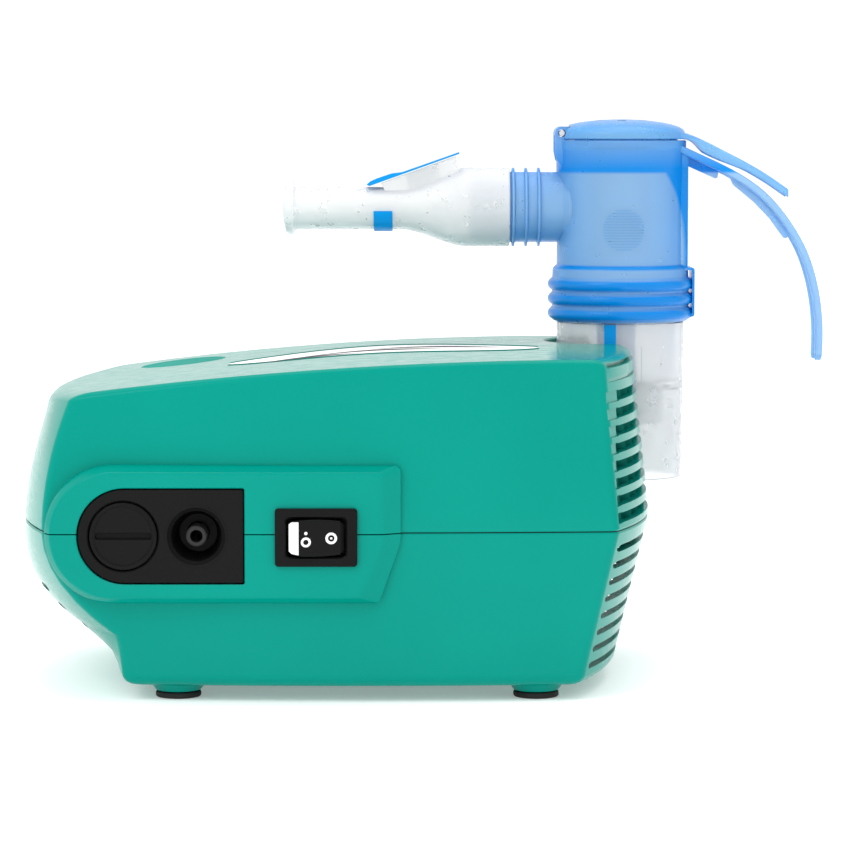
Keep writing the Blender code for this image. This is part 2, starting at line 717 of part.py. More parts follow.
def make_pump(alloy, plastic, rubber, silicone):
    rod_centre = (PUMP_X, MOTOR_Y, MOTOR_Z)
    bore_centre = (PUMP_X, 0, MOTOR_Z)
    rod = make_object("connecting_rod", pipe(8.9, 11.4, -2.7, 2.7, rod_centre, "X", 24), plastic, rod_centre)
    bar = block((PUMP_X - 2.2, -12, MOTOR_Z - 3), (PUMP_X + 2.2, MOTOR_Y - 9.6, MOTOR_Z + 3))
    add(rod, bar, "rod_bar")
    add(rod, disc(PISTON_R, -15.0, -10.0, bore_centre, "Y", 24), "piston_disc")
    seal = pipe(8.0, PISTON_R + 0.1, -17.2, -15.3, bore_centre, "Y", 24)
    make_object("piston_seal", seal, rubber, rod_centre)
    low = (PUMP_X - 16, -25.0, 10.5)
    cylinder = make_object("cylinder_block", block(low, (PUMP_X + 16, -6.0, 54.0)), alloy)
    cut(cylinder, disc(12.4, -28, -3, bore_centre, "Y", 24), "cylinder_bore")
    window = block((PUMP_X - 11, -27, 5), (PUMP_X + 11, -3, 20))
    cut(cylinder, window, "cylinder_foot_arch")
    head = block((PUMP_X - 16, -34.0, 22.0), (PUMP_X + 16, -25.3, 54.0))
    make_object("cylinder_head", head, alloy)
    bend = (-75.2, -37.5)
    path = [(FILTER_X, PLATE_BACK + GAP, PLATE_Z)]
    path += [(x, y, PLATE_Z) for x, y in arc(bend, 5.0, 180, 90, 5)]
    path.append((PUMP_X - 16 - GAP, bend[1] + 5, PLATE_Z))
    make_object("intake_tube", hose(path, 2.8), silicone)
    outlet = pipe(NOZZLE_R + GAP, 4.6, PLATE_BACK + GAP, -34.3, (SOCKET_X, 0, PLATE_Z), "Y", 16)
    make_object("outlet_tube", outlet, silicone)
    plate = block((-66.0, -26.0, 8.2), (18.5, 41.0, 10.2))
    make_object("base_plate", plate, alloy)
    for number, (x, y) in enumerate(((-60, -20), (12, -20), (-60, 35), (12, 35)), 1):
        mount = disc(4.0, BASE_Z + WALL + GAP, 7.9, (x, y, 0), steps=14)
        make_object(f"rubber_mount_{number}", mount, rubber)


# Nebulizer ------------------------------------------------------------------------------------

def make_cup(clear, blue):
    """The medication cup: hollow skirt, hose stub, stepped reservoir and jet tower in one piece."""
    x, y = NEB
    top = RING_Z[0] + 9
    profile = (
        (1.6, 52.5), (3.3, 52.5), (3.7, 54.0), (3.7, 66.2), (12.1, 66.2), (12.1, 76.3), (16.3, 76.3),
        (16.2, CUP_Z), (CUP_R - 0.5, CUP_Z), (CUP_R, CUP_SHOULDER_Z), (16.9, CUP_SHOULDER_Z + 0.2),
        (16.9, top), (15.5, top), (15.5, 79.0), (14.9, 77.8), (10.8, 77.8), (10.6, 69.5), (9.6, 67.7),
        (3.3, 67.7), (2.5, 85.0), (1.0, 86.0), (1.0, 84.0), (1.6, 82.5),
    )
    make_object("nebulizer_cup", turned(profile, (x, y, 0)), clear, (x, y, CUP_Z))
    insert = (
        (3.7, 68.2), (8.8, 68.2), (8.8, 69.2), (5.2, 70.2), (4.3, 89.0), (4.3, 99.0), (3.4, 100.4),
        (1.2, 100.4), (1.2, 99.4), (3.5, 98.6), (3.5, 88.6), (3.9, 71.0),
    )
    jet = make_object("jet_insert", turned(insert, (x, y, 0), steps=20), blue, (x, y, CUP_Z))
    add(jet, block((x - 6.6, y - 0.7, 84.0), (x - 3.9, y + 0.7, 99.0)), "jet_fin")


def grip_ring_profile():
    """Three rounded bands round the grip ring, as (radius, height) from the bottom up."""
    low, high = RING_Z
    pitch = (high - low) / 3
    profile = [(0, low)]
    for band in range(3):
        start = low + pitch * band
        profile += [(RING_R - 0.9, start + 0.05), (RING_R, start + 1.2)]
        profile += [(RING_R, start + pitch - 1.2), (RING_R - 0.9, start + pitch - 0.05)]
    return profile


HANDLE_PATH = (
    (66.8, 145.0), (72.6, 142.2), (83.4, 137.1), (91.3, 132.1), (97.1, 126.4), (101.6, 120.2),
    (104.9, 114.0), (107.2, 107.2), (108.7, 99.6), (109.3, 91.7), (109.1, 84.0),
)
TAB_TOP = (
    (58.0, 151.2), (63.0, 150.4), (68.3, 149.1), (73.0, 147.6), (77.5, 145.6), (83.0, 142.8),
    (88.6, 139.9), (94.4, 136.5), (100.4, 132.4),
)


def make_nebulizer_upper(blue):
    """The upper chamber with its grip ring, spigot, finger handle and the lid's hinge lugs."""
    x, y = NEB
    body = grip_ring_profile()
    body += [(CUP_R, RING_Z[1] + 0.4), (CUP_R, 143.8), (CUP_R + 0.4, 144.4), (CUP_R + 0.4, RIM_Z), (0, RIM_Z)]
    upper = make_object("nebulizer_upper", turned(body, (x, y, 0)), blue, (x, y, RING_Z[0]))
    spigot = [(0, SPIGOT_END_X), (9.45, SPIGOT_END_X), (9.45, MOUTH_END_X), (SPIGOT_R, MOUTH_END_X + 0.2)]
    for rib_x in (22.8, 26.4, 30.0):
        spigot += [(SPIGOT_R, rib_x - 0.45), (MOUTH_R, rib_x - 0.4)]
        spigot += [(MOUTH_R, rib_x + 0.4), (SPIGOT_R, rib_x + 0.45)]
    spigot += [(SPIGOT_R, x - 10), (0, x - 10)]
    add(upper, turned(spigot, (0, y, TUBE_Z), "X", 24), "spigot")
    add(upper, block((x + 15, y - 7, RING_Z[1] - 1), (x + 18.7, y + 7, 142.0)), "back_plate")
    widths = [16 - 0.35 * i for i in range(len(HANDLE_PATH))]
    add(upper, strap(HANDLE_PATH, widths, [2.1] * len(HANDLE_PATH), y), "finger_handle")
    first_web = ((69.3, 143.0), (72.2, 138.6), (80.1, 135.4), (81.1, 138.0))
    second_web = ((83.6, 136.6), (85.0, 133.6), (91.0, 128.8), (99.5, 118.6), (101.9, 119.8), (92.0, 131.6))
    add(upper, prism(first_web, y - 0.8, y + 0.8), "handle_web_root")
    add(upper, prism(second_web, y - 0.8, y + 0.8), "handle_web")
    lug = [(HINGE_X + 1.9, 138.0), (HINGE_X, 138.0), (HINGE_X - 1.9, 141.5)]
    lug += arc((HINGE_X, HINGE_Z), 1.9, 180, 0, 6)
    add(upper, merge([prism(lug, y + a, y + a + 2.4) for a in (-7.6, 5.2)]), "hinge_lugs")
    cut(upper, disc(1.1, y - 9, y + 9, (HINGE_X, 0, HINGE_Z), "Y", 12), "hinge_holes")
    chamber = (
        (0, 90), (17.3, 90), (17.3, 104.6), (16.6, 105.2), (16.6, 143.2), (8.5, 143.2), (8.5, 113), (0, 113),
    )
    cut(upper, turned(chamber, (x, y, 0)), "chamber")
    lid_seat = ((0, 144.6), (16.4, 144.6), (16.4, 160), (0, 160))
    cut(upper, turned(lid_seat, (x, y, 0)), "lid_seat")
    cut(upper, disc(7.3, 110, 150, (x, y, 0), steps=24), "chimney")
    bore_end = x - 12.0
    cut(upper, disc(8.2, SPIGOT_END_X - 2, bore_end, (0, y, TUBE_Z), "X", 24), "spigot_bore")


def cap_tab(y):
    """The lid's tab: a fan that grows out of the dome and narrows into a crowned strip."""
    rings = []
    for x, top in TAB_TOP:
        out = x - TAB_TOP[0][0]
        half = 6.2 + 7.0 * (1 - smoothstep(out / 19)) - 0.02 * out
        crown = 0.3 + 1.3 * (1 - smoothstep(out / 19))
        depth = 1.4 + 2.0 * smoothstep((out - 15) / 4) - 1.1 * smoothstep((out - 20) / 12)
        upper = [(share * half, top - crown * share ** 2) for share in (-1, -0.5, 0, 0.5, 1)]
        lower = [(share * half, top - depth - 0.5 * crown * abs(share)) for share in (0.95, 0, -0.95)]
        rings.append([(x, y + a, z) for a, z in upper + lower])
    return loft(rings)


def make_inlet_cap(blue, rubber, steel):
    """The hinged lid with its long tab, and the valve disc that hangs under it."""
    x, y = NEB
    origin = (HINGE_X, y, HINGE_Z)
    low = RIM_Z + GAP
    dome = ((0, low), (18.4, low), (18.4, 148.2), (15.0, 149.8), (10.0, 151.0), (5.0, 151.7), (0, 151.9))
    cap = make_object("inlet_cap", turned(dome, (x, y, 0)), blue, origin)
    cut(cap, block((HINGE_X - 7, y - 8, 140), (HINGE_X + 2.4, y + 8, 155)), "hinge_notch")
    add(cap, cap_tab(y), "cap_tab")
    inside = ((0, 140), (16.4, 140), (16.4, 148.0), (10.0, 149.7), (0, 150.5))
    cut(cap, turned(inside, (x, y, 0)), "cap_inside")
    knuckle = [*arc((HINGE_X, HINGE_Z), 1.85, 270, 90, 8), (HINGE_X + 5.0, 149.85), (HINGE_X + 1.6, low)]
    add(cap, prism(knuckle, y - 4.7, y + 4.7), "hinge_knuckle")
    cut(cap, disc(1.1, y - 9, y + 9, (HINGE_X, 0, HINGE_Z), "Y", 12), "knuckle_hole")
    holes = []
    for k in range(6):
        angle = math.tau * (k + 0.5) / 6
        holes.append(disc(1.4, 145, 156, (x + 7 * math.cos(angle), y + 7 * math.sin(angle), 0), steps=10))
    cut(cap, merge(holes), "inlet_holes")
    pin = disc(0.8, y - 7.5, y + 7.5, (HINGE_X, 0, HINGE_Z), "Y", 12)
    make_object("cap_hinge_pin", pin, steel, (x, y, RING_Z[0]))
    valve = ((0, 145.0), (9.6, 145.0), (9.6, 145.8), (2.0, 146.2), (1.3, 149.6), (0, 150.0))
    make_object("inlet_valve_disc", turned(valve, (x, y, 0), steps=24), rubber, origin)


def mouth_section(x, grow):
    """Half width, half height and centre height of the mouthpiece at x, with a wall taken off."""
    taper = smoothstep((x - CONE_X[0]) / (CONE_X[1] - CONE_X[0]))
    width = 8.6 + (MOUTH_R - 8.6) * taper
    height = 6.0 + (MOUTH_R - 6.0) * taper
    centre = TUBE_Z - 0.3 + 0.3 * taper
    return width + grow, height + grow, centre


def mouth_ring(x, grow, steps=22):
    width, height, centre = mouth_section(x, grow)
    ring = []
    for k in range(steps):
        angle = math.tau * k / steps
        ring.append((x, NEB[1] + width * math.cos(angle), centre + height * math.sin(angle)))
    return ring


def flap_point(along, up):
    """A point in the exhalation valve's slanted plane: along it from the root, and out of it."""
    run = Vector((FLAP_TIP[0] - FLAP_ROOT[0], FLAP_TIP[1] - FLAP_ROOT[1])).normalized()
    return (FLAP_ROOT[0] + run.x * along - run.y * up, FLAP_ROOT[1] + run.y * along + run.x * up)


def make_mouthpiece(white, blue):
    y = NEB[1]
    origin = (MOUTH_END_X, y, TUBE_Z)
    cone = [CONE_X[0] + (CONE_X[1] - CONE_X[0]) * k / 6 for k in range(7)]
    rings = [mouth_ring(MOUTH_LEFT_X, 1.3), mouth_ring(-39.3, 1.5), mouth_ring(-38.9, 0.0)]
    rings += [mouth_ring(x, 0.0) for x in (-20.0, *cone, MOUTH_END_X)]
    mouth = make_object("mouthpiece", loft(rings), white, origin)
    seat = [flap_point(4.0, -0.35), flap_point(26.4, -0.35), (7.4, 138.0), (8.2, 134.0), (0.0, 130.0),
            (-12.0, 129.0)]
    add(mouth, prism(seat, y - 4.6, y + 4.6), "valve_seat")
    inner = [mouth_ring(x, -1.4) for x in (MOUTH_LEFT_X - 2, -20.0, *cone, MOUTH_END_X + 2)]
    cut(mouth, loft(inner), "mouth_bore")
    port = [flap_point(12.0, 3.0), flap_point(22.0, 3.0), (2.6, 128.0), (-6.0, 128.0)]
    cut(mouth, prism(port, y - 2.6, y + 2.6), "exhale_port")
    anchor = []
    width, height, centre = mouth_section(-15.0, GAP)
    for grow in (0.0, 0.6):
        curve = arc((0, 0), 1.0, -174, -6, 14)
        ring = [((width + grow) * a, (height + grow) * b) for a, b in curve]
        anchor += ring if grow else ring[::-1]
    band = [(y + a, centre + b) for a, b in anchor]
    make_object("flap_anchor", prism(band, -16.6, -11.3, "X"), blue, origin)
    strip = [flap_point(0.6, 0.0), flap_point(27.5, 0.0), flap_point(27.6, 0.5), flap_point(10.5, 0.6)]
    strip += [flap_point(8.0, 1.2), flap_point(3.0, 1.3), flap_point(0.0, 0.8)]
    root = flap_point(0.8, 0.6)
    make_object("exhale_flap", prism(strip, y - 5.0, y + 5.0), blue, (root[0], y, root[1]))


def main():
    clear_scene()
    teal = make_material("teal_plastic", (0.0, 0.40, 0.29), 0.35)
    black = make_material("black_plastic", (0.02, 0.02, 0.02), 0.45)
    rubber = make_material("black_rubber", (0.02, 0.02, 0.02), 0.8)
    badge = make_material("dark_teal", (0.0, 0.22, 0.16), 0.4)
    blue = make_material("blue_translucent", (0.05, 0.35, 0.85), 0.2, 0.0, 0.7)
    clear = make_material("clear_plastic", (0.8, 0.85, 0.9), 0.15, 0.0, 0.5)
    white = make_material("milky_plastic", (0.85, 0.88, 0.9), 0.3, 0.0, 0.7)
    foam = make_material("filter_foam", (0.8, 0.8, 0.78), 0.95)
    steel = make_material("steel", (0.6, 0.6, 0.62), 0.3, 1.0)
    copper = make_material("copper_winding", (0.7, 0.3, 0.12), 0.35, 1.0)
    alloy = make_material("cast_alloy", (0.55, 0.56, 0.58), 0.5, 1.0)
    silicone = make_material("silicone", (0.7, 0.72, 0.72), 0.4, 0.0, 0.8)
    label = make_material("label", (0.8, 0.8, 0.8), 0.4)
    make_upper_housing(teal)
    make_lower_housing(teal)
    make_port_block(black)
    make_air_nozzle(black)
    make_filter(black, foam)
    make_switch(black, black)
    make_feet_and_screws(rubber, steel)
    make_mains_inlet(black)
    make_plates(label, badge)
    make_motor(steel, copper, alloy, black)
    make_pump(alloy, black, rubber, silicone)
    make_cup(clear, blue)
    make_nebulizer_upper(blue)
    make_inlet_cap(blue, blue, steel)
    make_mouthpiece(white, blue)


main()
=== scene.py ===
import json
import math

import bmesh
import bpy
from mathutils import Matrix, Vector


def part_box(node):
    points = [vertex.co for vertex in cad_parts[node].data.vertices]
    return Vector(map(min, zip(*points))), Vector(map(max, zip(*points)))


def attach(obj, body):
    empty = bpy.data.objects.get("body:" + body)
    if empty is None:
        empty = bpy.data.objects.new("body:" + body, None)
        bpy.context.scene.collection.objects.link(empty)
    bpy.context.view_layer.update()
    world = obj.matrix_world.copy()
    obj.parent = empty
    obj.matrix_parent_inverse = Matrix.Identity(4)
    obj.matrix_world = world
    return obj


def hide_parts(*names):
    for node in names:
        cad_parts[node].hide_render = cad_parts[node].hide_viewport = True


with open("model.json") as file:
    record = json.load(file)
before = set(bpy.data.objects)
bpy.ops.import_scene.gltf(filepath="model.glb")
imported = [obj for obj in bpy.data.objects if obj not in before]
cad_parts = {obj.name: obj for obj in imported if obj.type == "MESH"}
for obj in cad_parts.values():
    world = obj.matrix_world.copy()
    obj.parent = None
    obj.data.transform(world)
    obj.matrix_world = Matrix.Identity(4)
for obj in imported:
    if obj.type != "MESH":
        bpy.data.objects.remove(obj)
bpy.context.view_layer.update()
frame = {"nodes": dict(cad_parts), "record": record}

# Looks of the tabletop nebulizer. Lengths are millimetres and become metres when a mesh is made.
MM = 0.001


def box(node):
    """A CAD node's lowest and highest corner in millimetres."""
    low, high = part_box(node)
    return low / MM, high / MM


def plan_centre(node):
    """The middle of a CAD node's box, seen from above."""
    low, high = box(node)
    return (low.x + high.x) / 2, (low.y + high.y) / 2, 0


def side_centre(low, high):
    """The middle of a box, seen from the front."""
    return (low.x + high.x) / 2, (low.z + high.z) / 2


# Driving dimensions from the frame
UPPER_LOW, UPPER_HIGH = box("upper_housing")
LOWER_HIGH = box("lower_housing")[1]
PORT_LOW, PORT_HIGH = box("port_block")
CAP_LOW, CAP_HIGH = box("filter_cap")
NOZZLE_LOW, NOZZLE_HIGH = box("air_outlet_nozzle")
SWITCH_LOW, SWITCH_HIGH = box("switch_body")
CUP_LOW, CUP_HIGH = box("nebulizer_cup")
BADGE_LOW, BADGE_HIGH = box("top_badge")

GAP = UPPER_LOW.z - LOWER_HIGH.z
SEAM_Z = (UPPER_LOW.z + LOWER_HIGH.z) / 2
HALF_WIDTH = 62.0
CENTRE_Y = UPPER_HIGH.y - HALF_WIDTH
SIDE_BOW = 3.0
BASE_Z = SEAM_Z - 40.7
NOSE_APEX_X = UPPER_LOW.x
NOSE_EDGE_X = NOSE_APEX_X + 9.9
TAIL_APEX_X = UPPER_HIGH.x
TAIL_EDGE_X = TAIL_APEX_X - 11.3
CREST_Z = UPPER_HIGH.z
CREST_X = TAIL_EDGE_X - 8.7
CREST_FALL = 5.1e-4
NOSE_TOP_Z = CREST_Z - 8.8
FRONT_FOOT_X = NOSE_EDGE_X + 19.6
CORNER = 1.6
NOSE_FILLET = 6.0
TAIL_FILLET = 3.0
SIDE_FILLET = 2.0
BASE_FILLET = 3.5
WALL = 2.2
# How far the shells lean in for each mm from the split line, above it and below it
TAIL_EDGE_LEAN = (0.08, 0.235)
TAIL_APEX_LEAN = (0.10, 0.24)
SIDE_LEAN = (0.03, 0.035)
# How much the nose's corners curve in with the square of that distance
NOSE_CURVE = (0.0054, 0.0256)

ISLAND_Y = UPPER_LOW.y
ISLAND_X = -83.0
ISLAND_Z = 44.4
ISLAND_R = 15.9
ISLAND_RIGHT = -14.1
# Where cutters through the island's face start and end
IN_FRONT, BEHIND_FACE = -70, -50
PLATE_R = (PORT_HIGH.z - PORT_LOW.z) / 2 + GAP
PLATE_X = PORT_LOW.x - GAP + PLATE_R
PLATE_Z = (PORT_LOW.z + PORT_HIGH.z) / 2
PLATE_RIGHT = PORT_HIGH.x + GAP
PLATE_Y = PORT_LOW.y
PLATE_BACK = PORT_HIGH.y
FILTER_R = (CAP_HIGH.x - CAP_LOW.x) / 2
FILTER_X = side_centre(CAP_LOW, CAP_HIGH)[0]
SOCKET_X = side_centre(NOZZLE_LOW, NOZZLE_HIGH)[0]
SOCKET_R = 7.7
SOCKET_FLOOR = PLATE_Y + 9.7
NOZZLE_R = (NOZZLE_HIGH.x - NOZZLE_LOW.x) / 2
SWITCH_CENTRE = side_centre(SWITCH_LOW, SWITCH_HIGH)
SWITCH_X, SWITCH_Z = SWITCH_CENTRE
BEZEL = (SWITCH_HIGH.x - SWITCH_LOW.x, SWITCH_HIGH.z - SWITCH_LOW.z)
BEZEL_Y = SWITCH_LOW.y
ROCKER_POCKET = (15.4, 10.1)
ROCKER_PIVOT_Y = BEZEL_Y + 1.0

NEB_AXIS = plan_centre("nebulizer_cup")
NEB_X, NEB_Y = NEB_AXIS[:2]
CUP_Z = CUP_LOW.z
CUP_R = (CUP_HIGH.x - CUP_LOW.x) / 2
SHOULDER_Z = CUP_Z + 43.9
BAY_FLOOR = CUP_Z - 0.3
BAY_R = CUP_R + 0.8
BAY_TOP_R = CUP_R + 3.2
JOINTS = {joint["name"]: joint for joint in frame["record"]["behaviour"]["joints"]}
RING_LOW_Z = JOINTS["chamber_twist"]["pos_m"][2] / MM
RING_HIGH_Z = RING_LOW_Z + 15.3
RING_R = CUP_R + 2.5
BAND_LOW_Z = RING_LOW_Z + 0.2
BAND_PITCH = 4.1
TUBE_Z = 127.1
SPIGOT_R = 9.95
SPIGOT_END_X = box("nebulizer_upper")[0].x
MOUTH_LEFT_X, MOUTH_END_X = (corner.x for corner in box("mouthpiece"))
MOUTH_R = 11.15
MOUTH_FLAT = (8.6, 6.0)
CONE_X = (-9.3, 10.2)
COLLAR_Z = 136.8
HINGE_X, HINGE_Z = side_centre(*box("cap_hinge_pin"))
RIM_Z = HINGE_Z - 2.0

END_STEPS = 18
SIDE_STEPS = 22
CORNER_STEPS = (0.15, 0.3, 0.45, 0.6, 0.75, 0.9)
ROUND = 72
# The numbers of the feet, the housing screws and the rubber mounts
FOUR = (1, 2, 3, 4)


# Materials

class Look:
    """A material and its nodes. Each input takes a plain value, or is linked to another node's output."""

    def __init__(self, name):
        self.material = bpy.data.materials.new(name)
        self.material.use_nodes = True
        self.tree = self.material.node_tree
        self.shader = self.tree.nodes["Principled BSDF"]

    def fill(self, node, inputs):
        for name, value in inputs.items():
            if isinstance(value, bpy.types.NodeSocket):
                self.tree.links.new(value, node.inputs[name])
            else:
                node.inputs[name].default_value = value

    def add(self, kind, inputs, output, **settings):
        """Add a node and give back one of its outputs."""
        node = self.tree.nodes.new("ShaderNode" + kind)
        for name, value in settings.items():
            setattr(node, name, value)
        self.fill(node, inputs)
        return node.outputs[output]

    def place(self):
        """Object coordinates, which are metres."""
        return self.add("TexCoord", {}, "Object")

    def noise(self, scale, detail=2.0, stretch=(1.0, 1.0, 1.0)):
        vector = self.add("Mapping", {"Vector": self.place(), "Scale": stretch}, "Vector")
        return self.add("TexNoise", {"Vector": vector, "Scale": scale, "Detail": detail}, "Fac")

    def range(self, value, low, high, start=0.3, end=0.7):
        """Map a texture value to a number between two ends."""
        return self.add("MapRange", {
            "Value": value, "From Min": start, "From Max": end, "To Min": low, "To Max": high,
        }, "Result")

    def ramp(self, value, *stops):
        """Map a texture value to a colour by (position, colour) stops."""
        colour = self.add("ValToRGB", {"Fac": value}, "Color")
        elements = colour.node.color_ramp.elements
        for position, _ in stops[2:]:
            elements.new(position)
        for element, (position, tone) in zip(elements, stops):
            element.position = position
            element.color = (*tone, 1.0)
        return colour

    def mix(self, amount, first, second):
        """Mix a colour socket with a fixed colour."""
        inputs = {"Factor": amount, "A": first, "B": (*second, 1.0)}
        return self.add("Mix", inputs, "Result", data_type="RGBA")

    def calc(self, operation, first, second=0.0):
        return self.add("Math", {0: first, 1: second}, "Value", operation=operation)

    def finish(self, height, strength, distance, **inputs):
        """Set the shader's inputs and its bump."""
        bump = self.add("Bump", {"Height": height, "Strength": strength, "Distance": distance}, "Normal")
        self.fill(self.shader, {"Normal": bump, **{name.replace("_", " "): v for name, v in inputs.items()}})
        return self.material


def shade(colour, factor):
    return tuple(min(1.0, c * factor) for c in colour)


def moulded(name, colour, roughness, grain=1800.0, grain_depth=0.06, change=0.06, metallic=0.0,
            specular=0.5, stretch=(1.0, 1.0, 1.0), scuffs=0.1):
    """A solid material: moulded or cast grain, patchy colour, and finer scuffs in its gloss."""
    look = Look(name)
    patches = look.noise(26.0, 3.0)
    tone = look.ramp(patches, (0.3, shade(colour, 1 - change)), (0.7, shade(colour, 1 + change)))
    wear = look.noise(210.0, 6.0, (1.0, 1.0, 3.2))
    gloss = look.range(wear, roughness - scuffs / 2, roughness + scuffs / 2)
    return look.finish(look.noise(grain, 2.0, stretch), grain_depth, 0.0004, Metallic=metallic,
                       Specular_IOR_Level=specular, Base_Color=tone, Roughness=gloss)


def translucent(name, thin, thick, roughness, clear, frost_depth=0.05, blend=0.5, deep=None, zones=None):
    """Frosted see-through plastic, paler face on, with a deeper colour where zones says it is thick."""
    look = Look(name)
    tone = look.ramp(look.noise(45.0), (0.3, shade(thin, 0.97)), (0.7, shade(thin, 1.02)))
    tone = look.mix(look.add("LayerWeight", {"Blend": blend}, "Facing"), tone, thick)
    if zones:
        amount = zones(look)
        tone = look.mix(amount, tone, deep)
        clear = look.range(amount, clear, 0.35, 0.0, 1.0)
    gloss = look.range(look.noise(260.0, 4.0), roughness - 0.05, roughness + 0.07)
    return look.finish(look.noise(420.0), frost_depth, 0.0003, IOR=1.2, Transmission_Weight=clear,
                       Coat_Weight=0.25, Coat_Roughness=0.25, Base_Color=tone, Roughness=gloss)


def thick_zones(look):
    """Where the upper chamber's plastic is thick: collar, gusset at the right, and the ring's bands."""
    calc = look.calc
    parts = look.add("SeparateXYZ", {"Vector": look.place()}, "X").node.outputs
    x, z = (calc("MULTIPLY", parts[axis], 1 / MM) for axis in "XZ")
    collar = look.range(z, 0.0, 1.0, COLLAR_Z - 0.3, COLLAR_Z + 0.5)
    fade = look.range(z, 1.0, 0.42, COLLAR_Z + 1.5, RIM_Z)
    over_ring = calc("SUBTRACT", z, RING_HIGH_Z)
    up = calc("DIVIDE", over_ring, COLLAR_Z - RING_HIGH_Z)
    bend = calc("MULTIPLY", calc("POWER", calc("MAXIMUM", up, 0.0), 3.0), 5.8)
    beyond = calc("ADD", calc("SUBTRACT", x, NEB_X + CUP_R - 0.35), bend)
    on_body = calc("LESS_THAN", x, NEB_X + CUP_R + 1.0)
    above = calc("GREATER_THAN", z, RING_HIGH_Z)
    gusset = calc("MULTIPLY", look.range(beyond, 0.0, 1.0, -0.5, 0.5), calc("MULTIPLY", on_body, above))
    phase = calc("FRACT", calc("DIVIDE", calc("SUBTRACT", z, BAND_LOW_Z), BAND_PITCH))
    stops = ((0.0, 0.3), (0.1, 0.5), (0.2, 1.0), (0.72, 1.0), (0.84, 0.25), (1.0, 0.25))
    wave = look.ramp(phase, *((position, (grey, grey, grey)) for position, grey in stops))
    near_ring = calc("LESS_THAN", x, NEB_X + RING_R + 3.0)
    in_bands = calc("MULTIPLY", near_ring, calc("LESS_THAN", z, BAND_LOW_Z + 3 * BAND_PITCH))
    shoulder_line = look.range(calc("ABSOLUTE", over_ring), 1.0, 0.0, 0.3, 0.9)
    on_ring = calc("MAXIMUM", calc("MULTIPLY", wave, in_bands), calc("MULTIPLY", shoulder_line, near_ring))
    top = calc("MULTIPLY", calc("MAXIMUM", collar, gusset), fade)
    return calc("MAXIMUM", top, on_ring)


def wire_with_painted_shade(name, colour):
    """Enamelled wire laid in rings round the motor's axis, with painted shade darkening the grooves between
    the turns.
    """
    look = Look(name)
    wave = look.add("TexWave", {"Vector": look.place(), "Scale": 420.0, "Distortion": 1.5}, "Fac",
                    bands_direction="X")
    # Painted shade: the colour falls to 0.45 of the copper in the grooves between the turns.
    tone = look.ramp(wave, (0.1, shade(colour, 0.45)), (0.8, shade(colour, 1.1)))
    return look.finish(wave, 0.5, 0.0005, Metallic=0.9, Roughness=0.34, Base_Color=tone)


DEEP_BLUE = (0.0, 0.30, 0.84)
TEAL = moulded("teal_shell", (0.0, 0.262, 0.208), 0.17, 1500.0, 0.03, 0.03, specular=0.07, scuffs=0.06)
BADGE = moulded("badge_teal", (0.0, 0.27, 0.215), 0.6, 900.0, 0.05, 0.05, specular=0.08)
BLACK = moulded("black_moulded", (0.0055, 0.0052, 0.0055), 0.42, 2200.0, 0.12, 0.12, specular=0.10)
SWITCH = moulded("switch_black", (0.0045, 0.0045, 0.0045), 0.36, 2600.0, 0.08, 0.1, specular=0.10)
NOZZLE = moulded("nozzle_grey", (0.022, 0.021, 0.021), 0.4, 2200.0, 0.08, 0.1, specular=0.2)
PRINT = moulded("white_print", (0.90, 0.90, 0.89), 0.6, 1800.0, 0.05, 0.03, specular=0.2)
INK = moulded("grey_print", (0.10, 0.085, 0.095), 0.8, 1800.0, 0.05, 0.05, specular=0.02)
OUTLINE = moulded("teal_print", (0.0, 0.14, 0.115), 0.8, 1800.0, 0.05, 0.05, specular=0.02)
RUBBER = moulded("black_rubber", (0.016, 0.016, 0.016), 0.75, 1300.0, 0.3, 0.15, specular=0.3)
STEEL = moulded("zinc_steel", (0.62, 0.62, 0.64), 0.32, 900.0, 0.12, 0.08, metallic=1.0)
LAMINATE = moulded("stacked_steel", (0.34, 0.35, 0.37), 0.42, 700.0, 0.4, 0.1, metallic=1.0,
                   stretch=(6.0, 0.3, 0.3))
ALLOY = moulded("die_cast", (0.58, 0.59, 0.61), 0.5, 800.0, 0.3, 0.08, metallic=1.0)
FOAM = moulded("filter_foam", (0.8, 0.8, 0.76), 0.95, 700.0, 0.9, 0.12)
FOIL = moulded("blank_label", (0.66, 0.67, 0.68), 0.38, 600.0, 0.08, 0.04, metallic=0.6)
COPPER = wire_with_painted_shade("copper_wire_painted_shade", (0.75, 0.33, 0.13))
BLUE = translucent("blue_clear", (0.25, 0.56, 0.88), (0.05, 0.38, 0.88), 0.30, 0.45, 0.006)
CHAMBER_BLUE = translucent("blue_chamber", (0.37, 0.63, 0.91), (0.08, 0.42, 0.90), 0.32, 0.5, 0.006,
                           deep=DEEP_BLUE, zones=thick_zones)
BLUE_RING = translucent("blue_deep", (0.02, 0.34, 0.88), DEEP_BLUE, 0.26, 0.40)
SILICONE_BLUE = moulded("blue_silicone", (0.0, 0.29, 0.74), 0.42, 900.0, 0.1, 0.05, specular=0.12)
CLEAR = translucent("cup_clear", (0.90, 0.915, 0.925), (0.74, 0.79, 0.84), 0.22, 0.66, 0.006, blend=0.35)
MILKY = translucent("mouth_milky", (0.955, 0.957, 0.96), (0.86, 0.90, 0.94), 0.30, 0.5, 0.004, blend=0.3)
SILICONE = translucent("tube_silicone", (0.85, 0.87, 0.87), (0.6, 0.62, 0.62), 0.4, 0.5)


# Mesh helpers

def new_object(name, data):
    made = bpy.data.objects.new(name, data)
    bpy.context.collection.objects.link(made)
    return made


def raw(name, shape):
    points, faces = shape
    mesh = bpy.data.meshes.new(name)
    mesh.from_pydata([Vector(p) * MM for p in points], [], faces)
    shell = bmesh.new()
    shell.from_mesh(mesh)
    bmesh.ops.recalc_face_normals(shell, faces=shell.faces)
    shell.to_mesh(mesh)
    shell.free()
    return new_object(name, mesh)


